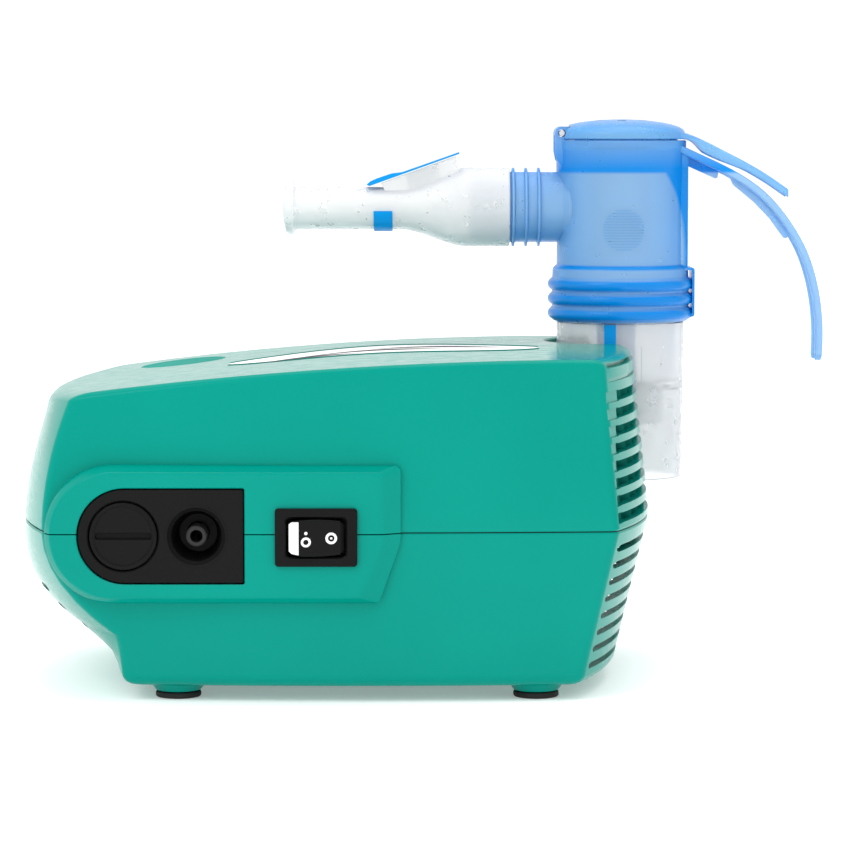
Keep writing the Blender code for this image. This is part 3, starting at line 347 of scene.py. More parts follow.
def combine(target, shape, operation):
    """Join or cut a shape into the target's mesh."""
    tool = raw("tool", shape)
    modifier = target.modifiers.new("combine", "BOOLEAN")
    modifier.operation = operation
    modifier.solver = "EXACT"
    modifier.object = tool
    bpy.context.view_layer.update()
    depsgraph = bpy.context.evaluated_depsgraph_get()
    mesh = bpy.data.meshes.new_from_object(target.evaluated_get(depsgraph))
    target.modifiers.clear()
    target.data = mesh
    bpy.data.objects.remove(tool, do_unlink=True)


def join(target, shape):
    combine(target, shape, "UNION")


def cut(target, shape):
    combine(target, shape, "DIFFERENCE")


def finish_piece(made, mat, body, nodes=(), sharp=34.0):
    """Shade a piece, give it its material, and let it ride on its body."""
    made.data.materials.clear()
    made.data.materials.append(mat)
    made.data.shade_smooth()
    made.data.set_sharp_from_angle(angle=math.radians(sharp))
    modifier = made.modifiers.new("normals", "WEIGHTED_NORMAL")
    modifier.keep_sharp = True
    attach(made, body)
    if nodes:
        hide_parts(*nodes)
    return made


def piece(name, shape, mat, body, nodes=(), sharp=34.0):
    return finish_piece(raw(name, shape), mat, body, nodes, sharp)


def loft(rings, hoop=False):
    """A skin over a stack of rings: capped at both ends, or closed into a hoop."""
    size, count = len(rings[0]), len(rings)
    points = [point for ring in rings for point in ring]
    faces = []
    for i in range(count if hoop else count - 1):
        a, b = i * size, ((i + 1) % count) * size
        for j in range(size):
            k = (j + 1) % size
            faces.append((a + j, a + k, b + k, b + j))
    if not hoop:
        faces.append(tuple(range(size)))
        faces.append(tuple(range((count - 1) * size, count * size)))
    return points, faces


def on_axis(axis, centre, a, b, h):
    """A point a and b across an axis, and h along it."""
    place = {"X": (h, a, b), "Y": (a, h, b), "Z": (a, b, h)}[axis]
    return tuple(c + p for c, p in zip(centre, place))


def turned(profile, centre, axis="Z", steps=ROUND):
    """Turn a closed (radius, height) outline about an axis; radius 0 makes a pole."""
    points, rows, faces = [], [], []
    for radius, height in profile:
        if radius < 1e-6:
            rows.append([len(points)] * steps)
            points.append(on_axis(axis, centre, 0, 0, height))
            continue
        rows.append(list(range(len(points), len(points) + steps)))
        for k in range(steps):
            angle = math.tau * k / steps
            across = (radius * math.cos(angle), radius * math.sin(angle))
            points.append(on_axis(axis, centre, *across, height))
    for row, other in zip(rows, rows[1:] + rows[:1]):
        for k in range(steps):
            j = (k + 1) % steps
            corners = list(dict.fromkeys((row[k], row[j], other[j], other[k])))
            if len(corners) > 2:
                faces.append(tuple(corners))
    return points, faces


def beside(radius, height, offsets):
    """Profile points given by their offsets from one corner."""
    return [(radius + a, height + b) for a, b in offsets]


def disc(radius, low, high, centre, axis="Z", steps=ROUND):
    return turned(((0, low), (radius, low), (radius, high), (0, high)), centre, axis, steps)


def stacked(outline_at, levels, axis="Y"):
    """A skin through (height, grow) levels; outline_at(grow) gives each level's outline."""
    return loft([[on_axis(axis, (0, 0, 0), a, b, height) for a, b in outline_at(grow)]
                 for height, grow in levels])


def prism(outline, low, high, axis="Y"):
    return stacked(lambda grow: outline, ((low, 0), (high, 0)), axis)


def block(low, high):
    corners = ((low[0], low[1]), (high[0], low[1]), (high[0], high[1]), (low[0], high[1]))
    return prism(corners, low[2], high[2], "Z")


def merge(shapes):
    points, faces = [], []
    for part_points, part_faces in shapes:
        start = len(points)
        points += part_points
        faces += [tuple(start + i for i in face) for face in part_faces]
    return points, faces


def arc(centre, radius, start, end, steps):
    points = []
    for k in range(steps + 1):
        angle = math.radians(start + (end - start) * k / steps)
        points.append((centre[0] + radius * math.cos(angle), centre[1] + radius * math.sin(angle)))
    return points


def rounded_rectangle(centre, size, radius, steps=5):
    outline = []
    for quarter, (sx, sy) in enumerate(((1, 1), (-1, 1), (-1, -1), (1, -1))):
        corner = (centre[0] + sx * (size[0] / 2 - radius), centre[1] + sy * (size[1] / 2 - radius))
        outline += arc(corner, radius, 90 * quarter, 90 * quarter + 90, steps)
    return outline


def smoothstep(value):
    value = min(max(value, 0.0), 1.0)
    return value * value * (3 - 2 * value)


def rounded_prism(outline_at, low, high, edge, steps=3):
    """A prism along Y whose edge at its low end is rounded; outline_at(inset) gives its outline."""
    angles = [math.radians(90.0 * k / steps) for k in range(steps + 1)]
    levels = [(low + edge * (1 - math.cos(angle)), edge * (1 - math.sin(angle))) for angle in angles]
    return stacked(outline_at, [*levels, (high, 0.0)])


def smooth_path(points, count):
    """A Catmull-Rom curve through (x, z) points."""
    path = []
    spans = len(points) - 1
    for k in range(count + 1):
        place = spans * k / count
        i = min(int(place), spans - 1)
        t = place - i
        p = [Vector(points[min(max(i + s, 0), spans)]) for s in (-1, 0, 1, 2)]
        value = 0.5 * (2 * p[1] + (p[2] - p[0]) * t + (2 * p[0] - 5 * p[1] + 4 * p[2] - p[3]) * t * t
                       + (3 * p[1] - p[0] - 3 * p[2] + p[3]) * t ** 3)
        path.append((value.x, value.y))
    return path


def strap(path, width_at, thickness_at, y, channel=0.0):
    """A strap along an (x, z) path with rounded edges, and a shallow channel along its underside."""
    rings = []
    for i, (x, z) in enumerate(path):
        before, after = path[max(i - 1, 0)], path[min(i + 1, len(path) - 1)]
        along = Vector((after[0] - before[0], after[1] - before[1])).normalized()
        out = Vector((-along.y, along.x))
        share = i / (len(path) - 1)
        w, t = width_at(share) / 2, thickness_at(share) / 2
        end = 1.0 if 0 < i < len(path) - 1 else 0.82
        w, t = w * end, t * end
        c = t * 0.62
        half = [(w - 1.7, t * 0.86), (w - c, t), (w - 0.3 * c, t - 0.3 * c), (w, t - c), (w, c - t),
                (w - 0.3 * c, 0.3 * c - t), (w - c, -t), (w - 1.5, -t), (w - 1.9, channel - t)]
        section = half + [(-a, b) for a, b in reversed(half)]
        rings.append([(x + out.x * b, y + a, z + out.y * b) for a, b in section])
    return loft(rings)


def band(pairs, place, low, high, hoop=False):
    """A thin closed strip between pairs of (a, b) points on a surface; place(a, b, h) gives the points."""
    rings = []
    for (a0, b0), (a1, b1) in pairs:
        rings.append([place(a0, b0, low), place(a1, b1, low), place(a1, b1, high), place(a0, b0, high)])
    return loft(rings, hoop)


def level_pairs(start, end, steps, low, high):
    """Pairs of points for a band between two level lines."""
    places = [start + (end - start) * k / steps for k in range(steps + 1)]
    return [((place, low), (place, high)) for place in places]


# Housing surface, the same as the CAD's

def top_height(x):
    return CREST_Z - CREST_FALL * max(0.0, CREST_X - x) ** 2


def corner_points(start, control, end):
    points = []
    for t in CORNER_STEPS:
        weights = ((1 - t) ** 2, 2 * t * (1 - t), t * t)
        points.append(tuple(
            weights[0] * start[i] + weights[1] * control[i] + weights[2] * end[i] for i in (0, 1)
        ))
    return points


def half_outline(edges, apexes, half_width):
    """The near half of a plan outline, from the nose apex to the tail apex."""
    end_half = half_width - SIDE_BOW
    middle = (edges[0] + edges[1]) / 2
    half_length = (edges[1] - edges[0]) / 2

    def end_point(side, v):
        return (apexes[side] + (edges[side] - apexes[side]) * v * v, -end_half * v)

    def side_point(u):
        return (middle + half_length * u, -end_half - SIDE_BOW * (1 - u * u))

    turn = 1 - CORNER / end_half
    reach = 1 - CORNER / half_length
    nose = [end_point(0, turn * k / END_STEPS) for k in range(END_STEPS + 1)]
    side = [side_point(reach * (2 * k / SIDE_STEPS - 1)) for k in range(SIDE_STEPS + 1)]
    tail = [end_point(1, turn * k / END_STEPS) for k in range(END_STEPS, -1, -1)]
    first = corner_points(nose[-1], (edges[0], -end_half), side[0])
    last = corner_points(side[-1], (edges[1], -end_half), tail[0])
    return nose + first + side + last + tail


def full_ring(half):
    near = [(x, CENTRE_Y + y, z) for x, y, z in half]
    far = [(x, CENTRE_Y - y, z) for x, y, z in half[-2:0:-1]]
    return near + far


def shoulder(x):
    nose = smoothstep((NOSE_EDGE_X + 3 - x) / 9)
    tail = smoothstep((x - TAIL_EDGE_X + 10) / 8)
    return SIDE_FILLET + (NOSE_FILLET - SIDE_FILLET) * nose + (TAIL_FILLET - SIDE_FILLET) * tail


UPPER_START_Z = SEAM_Z + GAP / 2
LOWER_START_Z = SEAM_Z - GAP / 2


def upper_ring(fraction, angle=0.0, wall=0.0, low=UPPER_START_Z):
    """A level outline of the upper shell; past its straight wall, angle turns it over the fillet."""
    nose_rise = fraction * (NOSE_TOP_Z - SEAM_Z)
    tail_rise = fraction * (CREST_Z - SEAM_Z)
    inset = 1 - math.cos(angle)
    nose_in = wall + NOSE_FILLET * inset
    tail_in = wall + TAIL_FILLET * inset
    edges = (
        NOSE_EDGE_X + NOSE_CURVE[0] * nose_rise ** 2 + nose_in,
        TAIL_EDGE_X - TAIL_EDGE_LEAN[0] * tail_rise - tail_in,
    )
    apexes = (
        NOSE_APEX_X + 0.05 * nose_rise + 0.0033 * nose_rise ** 2 + nose_in,
        TAIL_APEX_X - TAIL_APEX_LEAN[0] * tail_rise - tail_in,
    )
    half_width = HALF_WIDTH - SIDE_LEAN[0] * tail_rise - wall - SIDE_FILLET * inset
    half = []
    for x, y in half_outline(edges, apexes, half_width):
        rise = shoulder(x)
        start = top_height(x) - wall - rise
        half.append((x, y, low + fraction * (start - low) + rise * math.sin(angle)))
    return full_ring(half)


def lower_ring(fraction, angle, wall, high):
    """A level outline of the lower shell, as in upper_ring."""
    start = BASE_Z + wall + BASE_FILLET
    z = high - fraction * (high - start)
    depth = max(SEAM_Z - z, 0.0)
    inset = wall + BASE_FILLET * (1 - math.cos(angle))
    edges = (
        min(NOSE_EDGE_X + NOSE_CURVE[1] * depth ** 2, FRONT_FOOT_X + 0.08 * (depth - 27)) + inset,
        TAIL_EDGE_X - TAIL_EDGE_LEAN[1] * depth - inset,
    )
    apexes = (
        min(NOSE_APEX_X + 6.2e-4 * depth ** 2.99, FRONT_FOOT_X - 4.5 + 0.1 * (depth - 33)) + inset,
        TAIL_APEX_X - TAIL_APEX_LEAN[1] * depth - inset,
    )
    half_width = HALF_WIDTH - SIDE_LEAN[1] * depth - inset
    height = z - BASE_FILLET * math.sin(angle)
    return full_ring([(x, y, height) for x, y in half_outline(edges, apexes, half_width)])


UPPER_FRACTIONS = (0.012, 0.1, 0.2, 0.3, 0.4, 0.5, 0.6, 0.7, 0.8, 0.9, 1.0)
LOWER_FRACTIONS = (0.012, 0.12, 0.25, 0.37, 0.5, 0.6, 0.66, 0.7, 0.74, 0.8, 0.9, 1.0)
FILLET_ANGLES = (11, 22, 34, 45, 56, 68, 79, 90)


def shell_solid(ring, fractions, start_z, wall=0.0, lip=0.3):
    """One shell's solid, narrowed by the lip at the split line, and closed with strips across."""
    rings = [ring(0.0, 0.0, wall + lip, start_z)]
    rings += [ring(fraction, 0.0, wall, start_z) for fraction in fractions]
    rings += [ring(1.0, math.radians(angle), wall, start_z) for angle in FILLET_ANGLES]
    size = len(rings[0])
    points, faces = loft(rings)
    faces = faces[:-2]
    for start in (0, (len(rings) - 1) * size):
        for i in range(size // 2):
            strip = (i, i + 1, (size - i - 1) % size, (size - i) % size)
            faces.append(tuple(dict.fromkeys(start + j for j in strip)))
    return points, faces


def tail_x(y, z):
    """The tail wall's outer x at a point across and up."""
    across = min(abs(y - CENTRE_Y) / (HALF_WIDTH - SIDE_BOW), 1.0)
    half = 0 if z >= SEAM_Z else 1
    edge = TAIL_EDGE_X - TAIL_EDGE_LEAN[half] * abs(z - SEAM_Z)
    apex = TAIL_APEX_X - TAIL_APEX_LEAN[half] * abs(z - SEAM_Z)
    return apex + (edge - apex) * across ** 2


# Housing pieces

def island(upper):
    """Half of the raised island: flared foot, sloping flank and a rounded rim round its flat face."""
    cut_z = UPPER_START_Z if upper else LOWER_START_Z

    def outline_at(grow):
        radius = ISLAND_R + grow
        right = ISLAND_RIGHT + grow * 2.8
        centre = (ISLAND_X, ISLAND_Z)
        start = math.degrees(math.asin((cut_z - ISLAND_Z) / radius))
        if upper:
            soft = 1.6
            corner = arc((right - soft, ISLAND_Z + radius - soft), soft, 0, 90, 8)
            return [(right, cut_z), *corner, *arc(centre, radius, 90, 180 - start, 36)]
        low = ISLAND_Z - radius
        slant = ((right - 6.6, low), (right - 5.7, low + 0.3), (right - 5.1, low + 1.4),
                 (right - 0.3, cut_z - 3.0), (right, cut_z - 1.5))
        return [*arc(centre, radius, 180 - start, 270, 36), *slant, (right, cut_z)]

    return stacked(outline_at, ((-53.5, 2.3), (-59.6, 2.0), (-60.3, 1.5), (-61.9, 0.62), (-62.2, 0.38),
                                (-62.42, 0.12), (ISLAND_Y, -0.25)))


def plate_outline(grow):
    radius = PLATE_R + grow
    right = PLATE_RIGHT + grow
    soft = 0.5
    nose = arc((PLATE_X, PLATE_Z), radius, 90, 270, 40)
    low = arc((right - soft, PLATE_Z - radius + soft), soft, 270, 360, 3)
    high = arc((right - soft, PLATE_Z + radius - soft), soft, 0, 90, 3)
    return nose + low + high


def control_openings():
    """Cutters for the port plate and the switch, flared where they meet the island's face."""
    levels = ((IN_FRONT, 0.25), (ISLAND_Y - 0.01, 0.25), (ISLAND_Y + 0.25, 0.0), (BEHIND_FACE, 0.0))
    opening = rounded_rectangle(SWITCH_CENTRE, (19.2, 13.0), 0.8, 2)
    return merge((stacked(plate_outline, levels), prism(opening, IN_FRONT, BEHIND_FACE)))


SLOT_COUNT = 8
SLOT_LEFT_Y, SLOT_RIGHT_Y = -52.0, 11.0
UPPER_SLOT, UPPER_PITCH, UPPER_SLOT_Z = 2.6, 4.5, SEAM_Z + 3.3
LOWER_SLOT, LOWER_PITCH, LOWER_SLOT_Z = 1.65, 4.4, SEAM_Z - 5.0


def slot_left(k):
    """The near end of an upper slot: each starts a little further from the corner than the one below."""
    return SLOT_LEFT_Y + 0.16 * k ** 2


def upper_vents():
    """Slots round the tail."""
    slots = []
    for k in range(SLOT_COUNT):
        left = slot_left(k)
        centre = ((left + SLOT_RIGHT_Y) / 2, UPPER_SLOT_Z + UPPER_PITCH * k)
        outline = rounded_rectangle(centre, (SLOT_RIGHT_Y - left, UPPER_SLOT), 0.7, 3)
        slots.append(prism(outline, TAIL_EDGE_X - 6, TAIL_APEX_X + 4, "X"))
    return merge(slots)


def vent_ledge():
    """A shallow recess beside the slots' near ends; the bars between them stand across it."""
    recesses = []
    near = SLOT_LEFT_Y - 2.6
    for k in range(SLOT_COUNT):
        low = UPPER_SLOT_Z + UPPER_PITCH * k - UPPER_SLOT / 2 - 0.15
        far = slot_left(k) + 0.5
        corners = ((near, -0.9), (near, 2), (far, 2), (far, -0.9))
        recesses.append(loft([[(tail_x(y, z) + out, y, z) for y, out in corners]
                              for z in (low, low + UPPER_SLOT + 0.3)]))
    return merge(recesses)


def tail_groove(z, inward, outward, start, end, steps, halves_at):
    """A groove round the tail wall; halves_at(k) gives its half heights, at its floor and outside."""
    rings = []
    for k in range(steps + 1):
        y = start + (end - start) * k / steps
        x = tail_x(y, z)
        floor, mouth = halves_at(k)
        rings.append([(x - inward, y, z - floor), (x + outward, y, z - mouth),
                      (x + outward, y, z + mouth), (x - inward, y, z + floor)])
    return loft(rings)


def shoulder_grooves():
    """Two shallow grooves round the tail's top edge, above the slots."""
    return merge([tail_groove(z, inward, outward, -52.0, 10.0, 32, lambda k: (0.45, 1.0))
                  for z, inward, outward in ((83.8, 0.9, 4.0), (87.6, 2.45, 2.95))])


def lower_vents():
    """Slots round the tail under the split line, and three short ones under the nose."""
    slots = [((109.0, LOWER_SLOT), LOWER_SLOT / 2 - 0.02, LOWER_SLOT_Z - LOWER_PITCH * k,
              TAIL_EDGE_X - 16, TAIL_APEX_X + 4) for k in range(SLOT_COUNT)]
    slots += [((70.0, 2.0), 0.95, 17.0 + 5.0 * k, NOSE_APEX_X - 4, NOSE_APEX_X + 34 - 4.5 * k)
              for k in range(3)]
    return merge([prism(rounded_rectangle((CENTRE_Y, z), size, radius, 4), low, high, "X")
                  for size, radius, z, low, high in slots])


def lower_slot_recesses():
    """Dished surrounds: each lower slot lies in a shallow band with narrower ends."""
    steps = 40

    def halves_at(k):
        half = 1.35 if 0 < k < steps else 0.5
        return half * 0.6, half + 0.4

    ends = (CENTRE_Y - 55.9, CENTRE_Y + 55.9)
    heights = [LOWER_SLOT_Z - LOWER_PITCH * k for k in range(SLOT_COUNT)]
    return merge([tail_groove(z, 0.45, 3, *ends, steps, halves_at) for z in heights])


def bay_bore():
    """The nebulizer's bay with a low locating ring and a rounded mouth."""
    top = CREST_Z + 12
    profile = [
        (0, BAY_FLOOR), (12.0, BAY_FLOOR), (12.2, BAY_FLOOR + 3), (15.3, BAY_FLOOR + 3),
        (15.8, BAY_FLOOR), (BAY_R, BAY_FLOOR), (BAY_TOP_R, CREST_Z - 0.9), (BAY_TOP_R + 0.25, CREST_Z - 0.35),
        (BAY_TOP_R + 0.9, CREST_Z + 0.02), (BAY_TOP_R + 0.9, top), (0, top),
    ]
    return turned(profile, (NEB_X, NEB_Y, 0))


def badge_outline(grow, steps=64):
    x, y = plan_centre("top_badge")[:2]
    radii = ((BADGE_HIGH.x - BADGE_LOW.x) / 2 + grow, (BADGE_HIGH.y - BADGE_LOW.y) / 2 + grow)
    angles = [math.tau * k / steps for k in range(steps)]
    return [(x + radii[0] * math.cos(angle), y + radii[1] * math.sin(angle)) for angle in angles]


def on_top(x, y, height):
    return (x, y, top_height(x) + height)


def badge_shape(levels):
    return loft([[on_top(x, y, height) for x, y in badge_outline(grow)] for grow, height in levels])


def make_upper_housing():
    shell = raw("shell_upper", shell_solid(upper_ring, UPPER_FRACTIONS, UPPER_START_Z))
    join(shell, island(True))
    cut(shell, control_openings())
    cavity = raw("space", shell_solid(upper_ring, UPPER_FRACTIONS, SEAM_Z - 2, WALL, 0.0))
    lining = ((0, SEAM_Z - 4), (BAY_R + WALL, SEAM_Z - 4), (BAY_TOP_R + WALL, CREST_Z),
              (BAY_TOP_R + WALL, CREST_Z + 6), (0, CREST_Z + 6))
    cut(cavity, turned(lining, NEB_AXIS))
    space = ([v.co / MM for v in cavity.data.vertices], [tuple(p.vertices) for p in cavity.data.polygons])
    bpy.data.objects.remove(cavity, do_unlink=True)
    cut(shell, space)
    cut(shell, bay_bore())
    cut(shell, upper_vents())
    cut(shell, vent_ledge())
    cut(shell, shoulder_grooves())
    cut(shell, badge_shape(((0.18, -0.9), (0.18, -0.15), (0.5, 0.1), (0.5, 3.0))))
    return finish_piece(shell, TEAL, "housing", ["upper_housing"])


def make_lower_housing():
    shell = raw("shell_lower", shell_solid(lower_ring, LOWER_FRACTIONS, LOWER_START_Z))
    join(shell, island(False))
    cut(shell, control_openings())
    cut(shell, shell_solid(lower_ring, LOWER_FRACTIONS, SEAM_Z + 2, WALL, 0.0))
    cut(shell, lower_slot_recesses())
    cut(shell, lower_vents())
    low, high = box("mains_inlet")
    size = (high.x - low.x + 0.6, high.z - low.z + 0.6)
    outline = rounded_rectangle(side_centre(low, high), size, 2.0, 4)
    cut(shell, prism(outline, CENTRE_Y + 50, CENTRE_Y + 70))
    boss = ((0, 1.9), (5.9, 1.9), (6.15, 2.1), (7.2, BASE_Z - 0.4), (8.3, BASE_Z + 0.3), (8.3, 5.4), (0, 5.4))
    feet = [plan_centre(f"foot_pad_{n}") for n in FOUR]
    join(shell, merge([turned(boss, centre, steps=40) for centre in feet]))
    cut(shell, merge([disc(2.6, -1, BASE_Z + 6, centre, steps=20) for centre in feet]))
    well = ((0, BASE_Z - 2), (3.4, BASE_Z - 2), (3.0, BASE_Z + 0.3), (3.0, 30.0), (0, 30.0))
    cut(shell, merge([turned(well, plan_centre(f"housing_screw_{n}"), steps=28) for n in FOUR]))
    return finish_piece(shell, TEAL, "housing", ["lower_housing"])


def make_split_line_shade():
    """The lower shell's tongue inside the upper one, made black as painted shade that darkens the split line.
    """
    rings = []
    for wall, up in ((0.75, -1.2), (1.6, -1.2), (1.6, 1.4), (0.75, 1.4)):
        rings.append([(x, y, SEAM_Z + up) for x, y, _ in upper_ring(0.0, wall=wall)])
    tongue = raw("split_line_shade", loft(rings, True))
    cut(tongue, prism(plate_outline(1.0), IN_FRONT, BEHIND_FACE))
    cut(tongue, block((SWITCH_X - 10, IN_FRONT, SEAM_Z - 9), (SWITCH_X + 10, BEHIND_FACE, SEAM_Z + 9)))
    # The black is painted shade in the split line's gap.
    finish_piece(tongue, BLACK, "housing")


def make_vent_ribs():
    """Upright ribs behind the upper slots."""
    ribs = []
    for y in (-46.0, -34.0, -22.0, -10.0, 2.0):
        heights = (SEAM_Z + 1.0, SEAM_Z + 12, SEAM_Z + 24, CREST_Z - 6.0)
        outline = [(tail_x(y, z) - WALL + 0.25, z) for z in heights]
        inner = [(x - 3.2, z) for x, z in reversed(outline)]
        ribs.append(prism(outline + inner, y - 0.7, y + 0.7))
    piece("vent_ribs", merge(ribs), TEAL, "housing")


def make_port_block():
    """The black plate with its filter seat, and the tapered hose socket with its rim."""
    def outline_at(inset):
        return plate_outline(-GAP - inset)

    port = raw("port_plate", rounded_prism(outline_at, PLATE_Y, PLATE_BACK, 0.35))
    filter_centre = (FILTER_X, 0, PLATE_Z)
    socket_centre = (SOCKET_X, 0, PLATE_Z)
    seat = FILTER_R + GAP
    chamber = ((0, -46.0), (8.1, -46.0), (8.1, -59.2), (seat, -59.2), (seat, PLATE_Y + 0.35),
               (seat + 0.35, PLATE_Y - 0.01), (seat + 0.35, IN_FRONT), (0, IN_FRONT))
    cut(port, turned(chamber, filter_centre, "Y"))
    cone = ((0, SOCKET_FLOOR), (4.9, SOCKET_FLOOR), (5.3, SOCKET_FLOOR + 0.3), (6.6, PLATE_Y + 1.2),
            *beside(SOCKET_R, PLATE_Y, ((-0.45, 0.5), (-0.1, -0.01))), (SOCKET_R - 0.1, IN_FRONT),
            (0, IN_FRONT))
    cut(port, turned(cone, socket_centre, "Y"))
    cut(port, disc(NOZZLE_R + 0.2, -55, -40, socket_centre, "Y", 40))
    finish_piece(port, BLACK, "housing", ["port_block"])
    rim = ((-0.2, 0.3), (0.35, 0.1), (0.35, -0.08), (0.2, -0.2), (0, -0.2), (-0.2, -0.05))
    shape = turned(beside(SOCKET_R, PLATE_Y, rim), socket_centre, "Y")
    piece("socket_rim", shape, BLACK, "housing")
    tip = NOZZLE_LOW.y
    barbs = ((-0.45, 0), (-0.15, 0.25), (-0.15, 1.6), (0, 2.0), (0, 2.6), (-0.3, 2.9), (-0.3, 5.0), (0, 5.4))
    nozzle = [(1.55, tip + 0.3), (1.7, tip), *beside(NOZZLE_R, tip, barbs), (NOZZLE_R, NOZZLE_HIGH.y),
              (1.55, NOZZLE_HIGH.y)]
    piece("nozzle", turned(nozzle, socket_centre, "Y", 48), NOZZLE, "housing",
          ["air_outlet_nozzle"])


def make_filter_cap():
    """The filter cap: rim groove, flat face with a dished band, and the coin slot."""
    centre = (FILTER_X, 0, PLATE_Z)
    face = PLATE_Y - 0.1
    rim = ((0, 0.4), (-0.12, 0.14), (-0.35, 0), (-0.95, 0), (-1.1, 0.14), (-1.35, 0.16), (-1.5, 0.04))
    profile = [(0, -59.6), (FILTER_R, -59.6), *beside(FILTER_R, face, rim), (0, face + 0.02)]
    cap = raw("cap_filter", turned(profile, centre, "Y", 96))

    def slot_at(grow):
        return rounded_rectangle((FILTER_X, PLATE_Z), (14.6 + 2 * grow, 1.6 + 2 * grow), 0.5 + grow, 4)

    cut(cap, stacked(slot_at, ((face - 1, 0.25), (face, 0.25), (face + 0.25, 0.0), (face + 1.3, 0.0))))
    finish_piece(cap, BLACK, "filter_cap", ["filter_cap"])


def rocker_face(u):
    """The rocker's front in Y at u across it, from the raised to the pressed end."""
    tilt = math.tan(math.radians(12.0))
    return ROCKER_PIVOT_Y - 2.05 - 0.75 * (u / 7.0) ** 2 + tilt * u * 0.98


def make_switch():
    """The rocker switch: a bezel with soft edges, and a barrel-shaped rocker with plain symbols."""
    def bezel_at(inset):
        return rounded_rectangle(SWITCH_CENTRE, (BEZEL[0] - 2 * inset, BEZEL[1] - 2 * inset), 0.9, 4)

    def pocket_at(grow):
        size = (ROCKER_POCKET[0] + 2 * grow, ROCKER_POCKET[1] + 2 * grow)
        return rounded_rectangle(SWITCH_CENTRE, size, 1.0, 4)

    bezel = raw("switch_bezel", rounded_prism(bezel_at, BEZEL_Y, ISLAND_Y - 0.12, 0.45))
    join(bezel, prism(rounded_rectangle(SWITCH_CENTRE, (18.4, 12.2), 0.5, 2), BEZEL_Y + 0.6, -46))
    levels = ((BEZEL_Y - 3, 0.4), (BEZEL_Y - 0.01, 0.4), (BEZEL_Y + 0.45, 0.0), (-56.5, 0.0))
    cut(bezel, stacked(pocket_at, levels))
    finish_piece(bezel, SWITCH, "housing", ["switch_body"])

    low_u, high_u = -7.15, 7.05
    crest = -4.3

    def front(u):
        if u < crest:
            share = (crest - u) / (crest - low_u)
            return rocker_face(crest) + (ROCKER_PIVOT_Y - 0.7 - rocker_face(crest)) * share
        return rocker_face(u) + 0.8 * smoothstep((u - 6.1) / 0.95)

    def half_height(u):
        return 4.82 - 0.55 * (u / 7.1) ** 2 - 0.5 * smoothstep((abs(u) - 6.2) / 0.95)

    rings = []
    stations = [low_u, -6.9, -6.4, -5.6, -4.8, crest - 0.25, crest, crest + 0.3, -3.0, -1.5, 0.0, 1.5,
                3.0, 4.5, 5.6, 6.2, 6.6, 6.9, high_u]
    edge = 0.5
    for u in stations:
        h, y = half_height(u), front(u)
        ring = [(h, ROCKER_PIVOT_Y + 3.0), (h, y + edge)]
        ring += [(h - edge + edge * math.cos(a), y + edge - edge * math.sin(a))
                 for a in (math.radians(30), math.radians(60), math.radians(90))]
        ring += [(-z, v) for z, v in reversed(ring)]
        rings.append([(SWITCH_X + u, v, SWITCH_Z + z) for z, v in ring])
    piece("rocker", loft(rings), SWITCH, "switch_rocker", ["switch_rocker"], 40)

    def on_rocker(u, v, height):
        return (SWITCH_X + u, front(u) - height, SWITCH_Z + v)

    flank = []
    for k in range(15):
        u = low_u + 0.12 + (crest - 0.25 - low_u) * k / 14
        h = half_height(u) - 0.32
        flank.append(((u, h), (u, -h)))
    piece("rocker_flank", band(flank, on_rocker, -0.2, 0.03), PRINT, "switch_rocker")
    marks = []
    for u, v, outer, inner in ((-2.55, -0.95, 1.28, 0.68), (3.95, -0.05, 1.5, 0.85)):
        turns = [(math.cos(math.tau * k / 36), math.sin(math.tau * k / 36)) for k in range(36)]
        pairs = [((u + outer * c, v + outer * s), (u + inner * c, v + inner * s)) for c, s in turns]
        marks.append(band(pairs, on_rocker, -0.15, 0.025, True))
    for u, v, radius in ((-2.55, 1.35, 0.42), (3.95, -0.05, 0.3)):
        pairs = []
        for k in range(13):
            angle = math.pi * k / 12
            c, s = radius * math.cos(angle), max(radius * math.sin(angle), 0.01)
            pairs.append(((u + c, v + s), (u + c, v - s)))
        marks.append(band(pairs, on_rocker, -0.15, 0.025))
    piece("rocker_marks", merge(marks), PRINT, "switch_rocker")


def make_feet():
    for n in FOUR:
        node = f"foot_pad_{n}"
        low, high = box(node)
        radius = (high.x - low.x) / 2
        edge = ((-0.7, 0), (-0.25, 0.12), (0, 0.5), (0, 1.2), (-0.15, 1.5), (-0.4, 1.6))
        profile = [(0, 0.25), (3.6, 0.25), (3.9, 0), *beside(radius, 0, edge), (2.3, 1.6),
                   (2.3, high.z - 0.4), (0, high.z)]
        shape = turned(profile, plan_centre(node), steps=56)
        piece(f"pad_{n}", shape, RUBBER, "housing", [node])


def make_badge():
    levels = ((0.0, -0.55), (0.0, -0.1), (-0.35, 0.04), (-1.1, 0.04), (-1.4, -0.12), (-1.9, -0.12),
              (-2.4, 0.02), (-5.0, 0.06))
    piece("badge", badge_shape(levels), BADGE, "housing", ["top_badge"], 50)


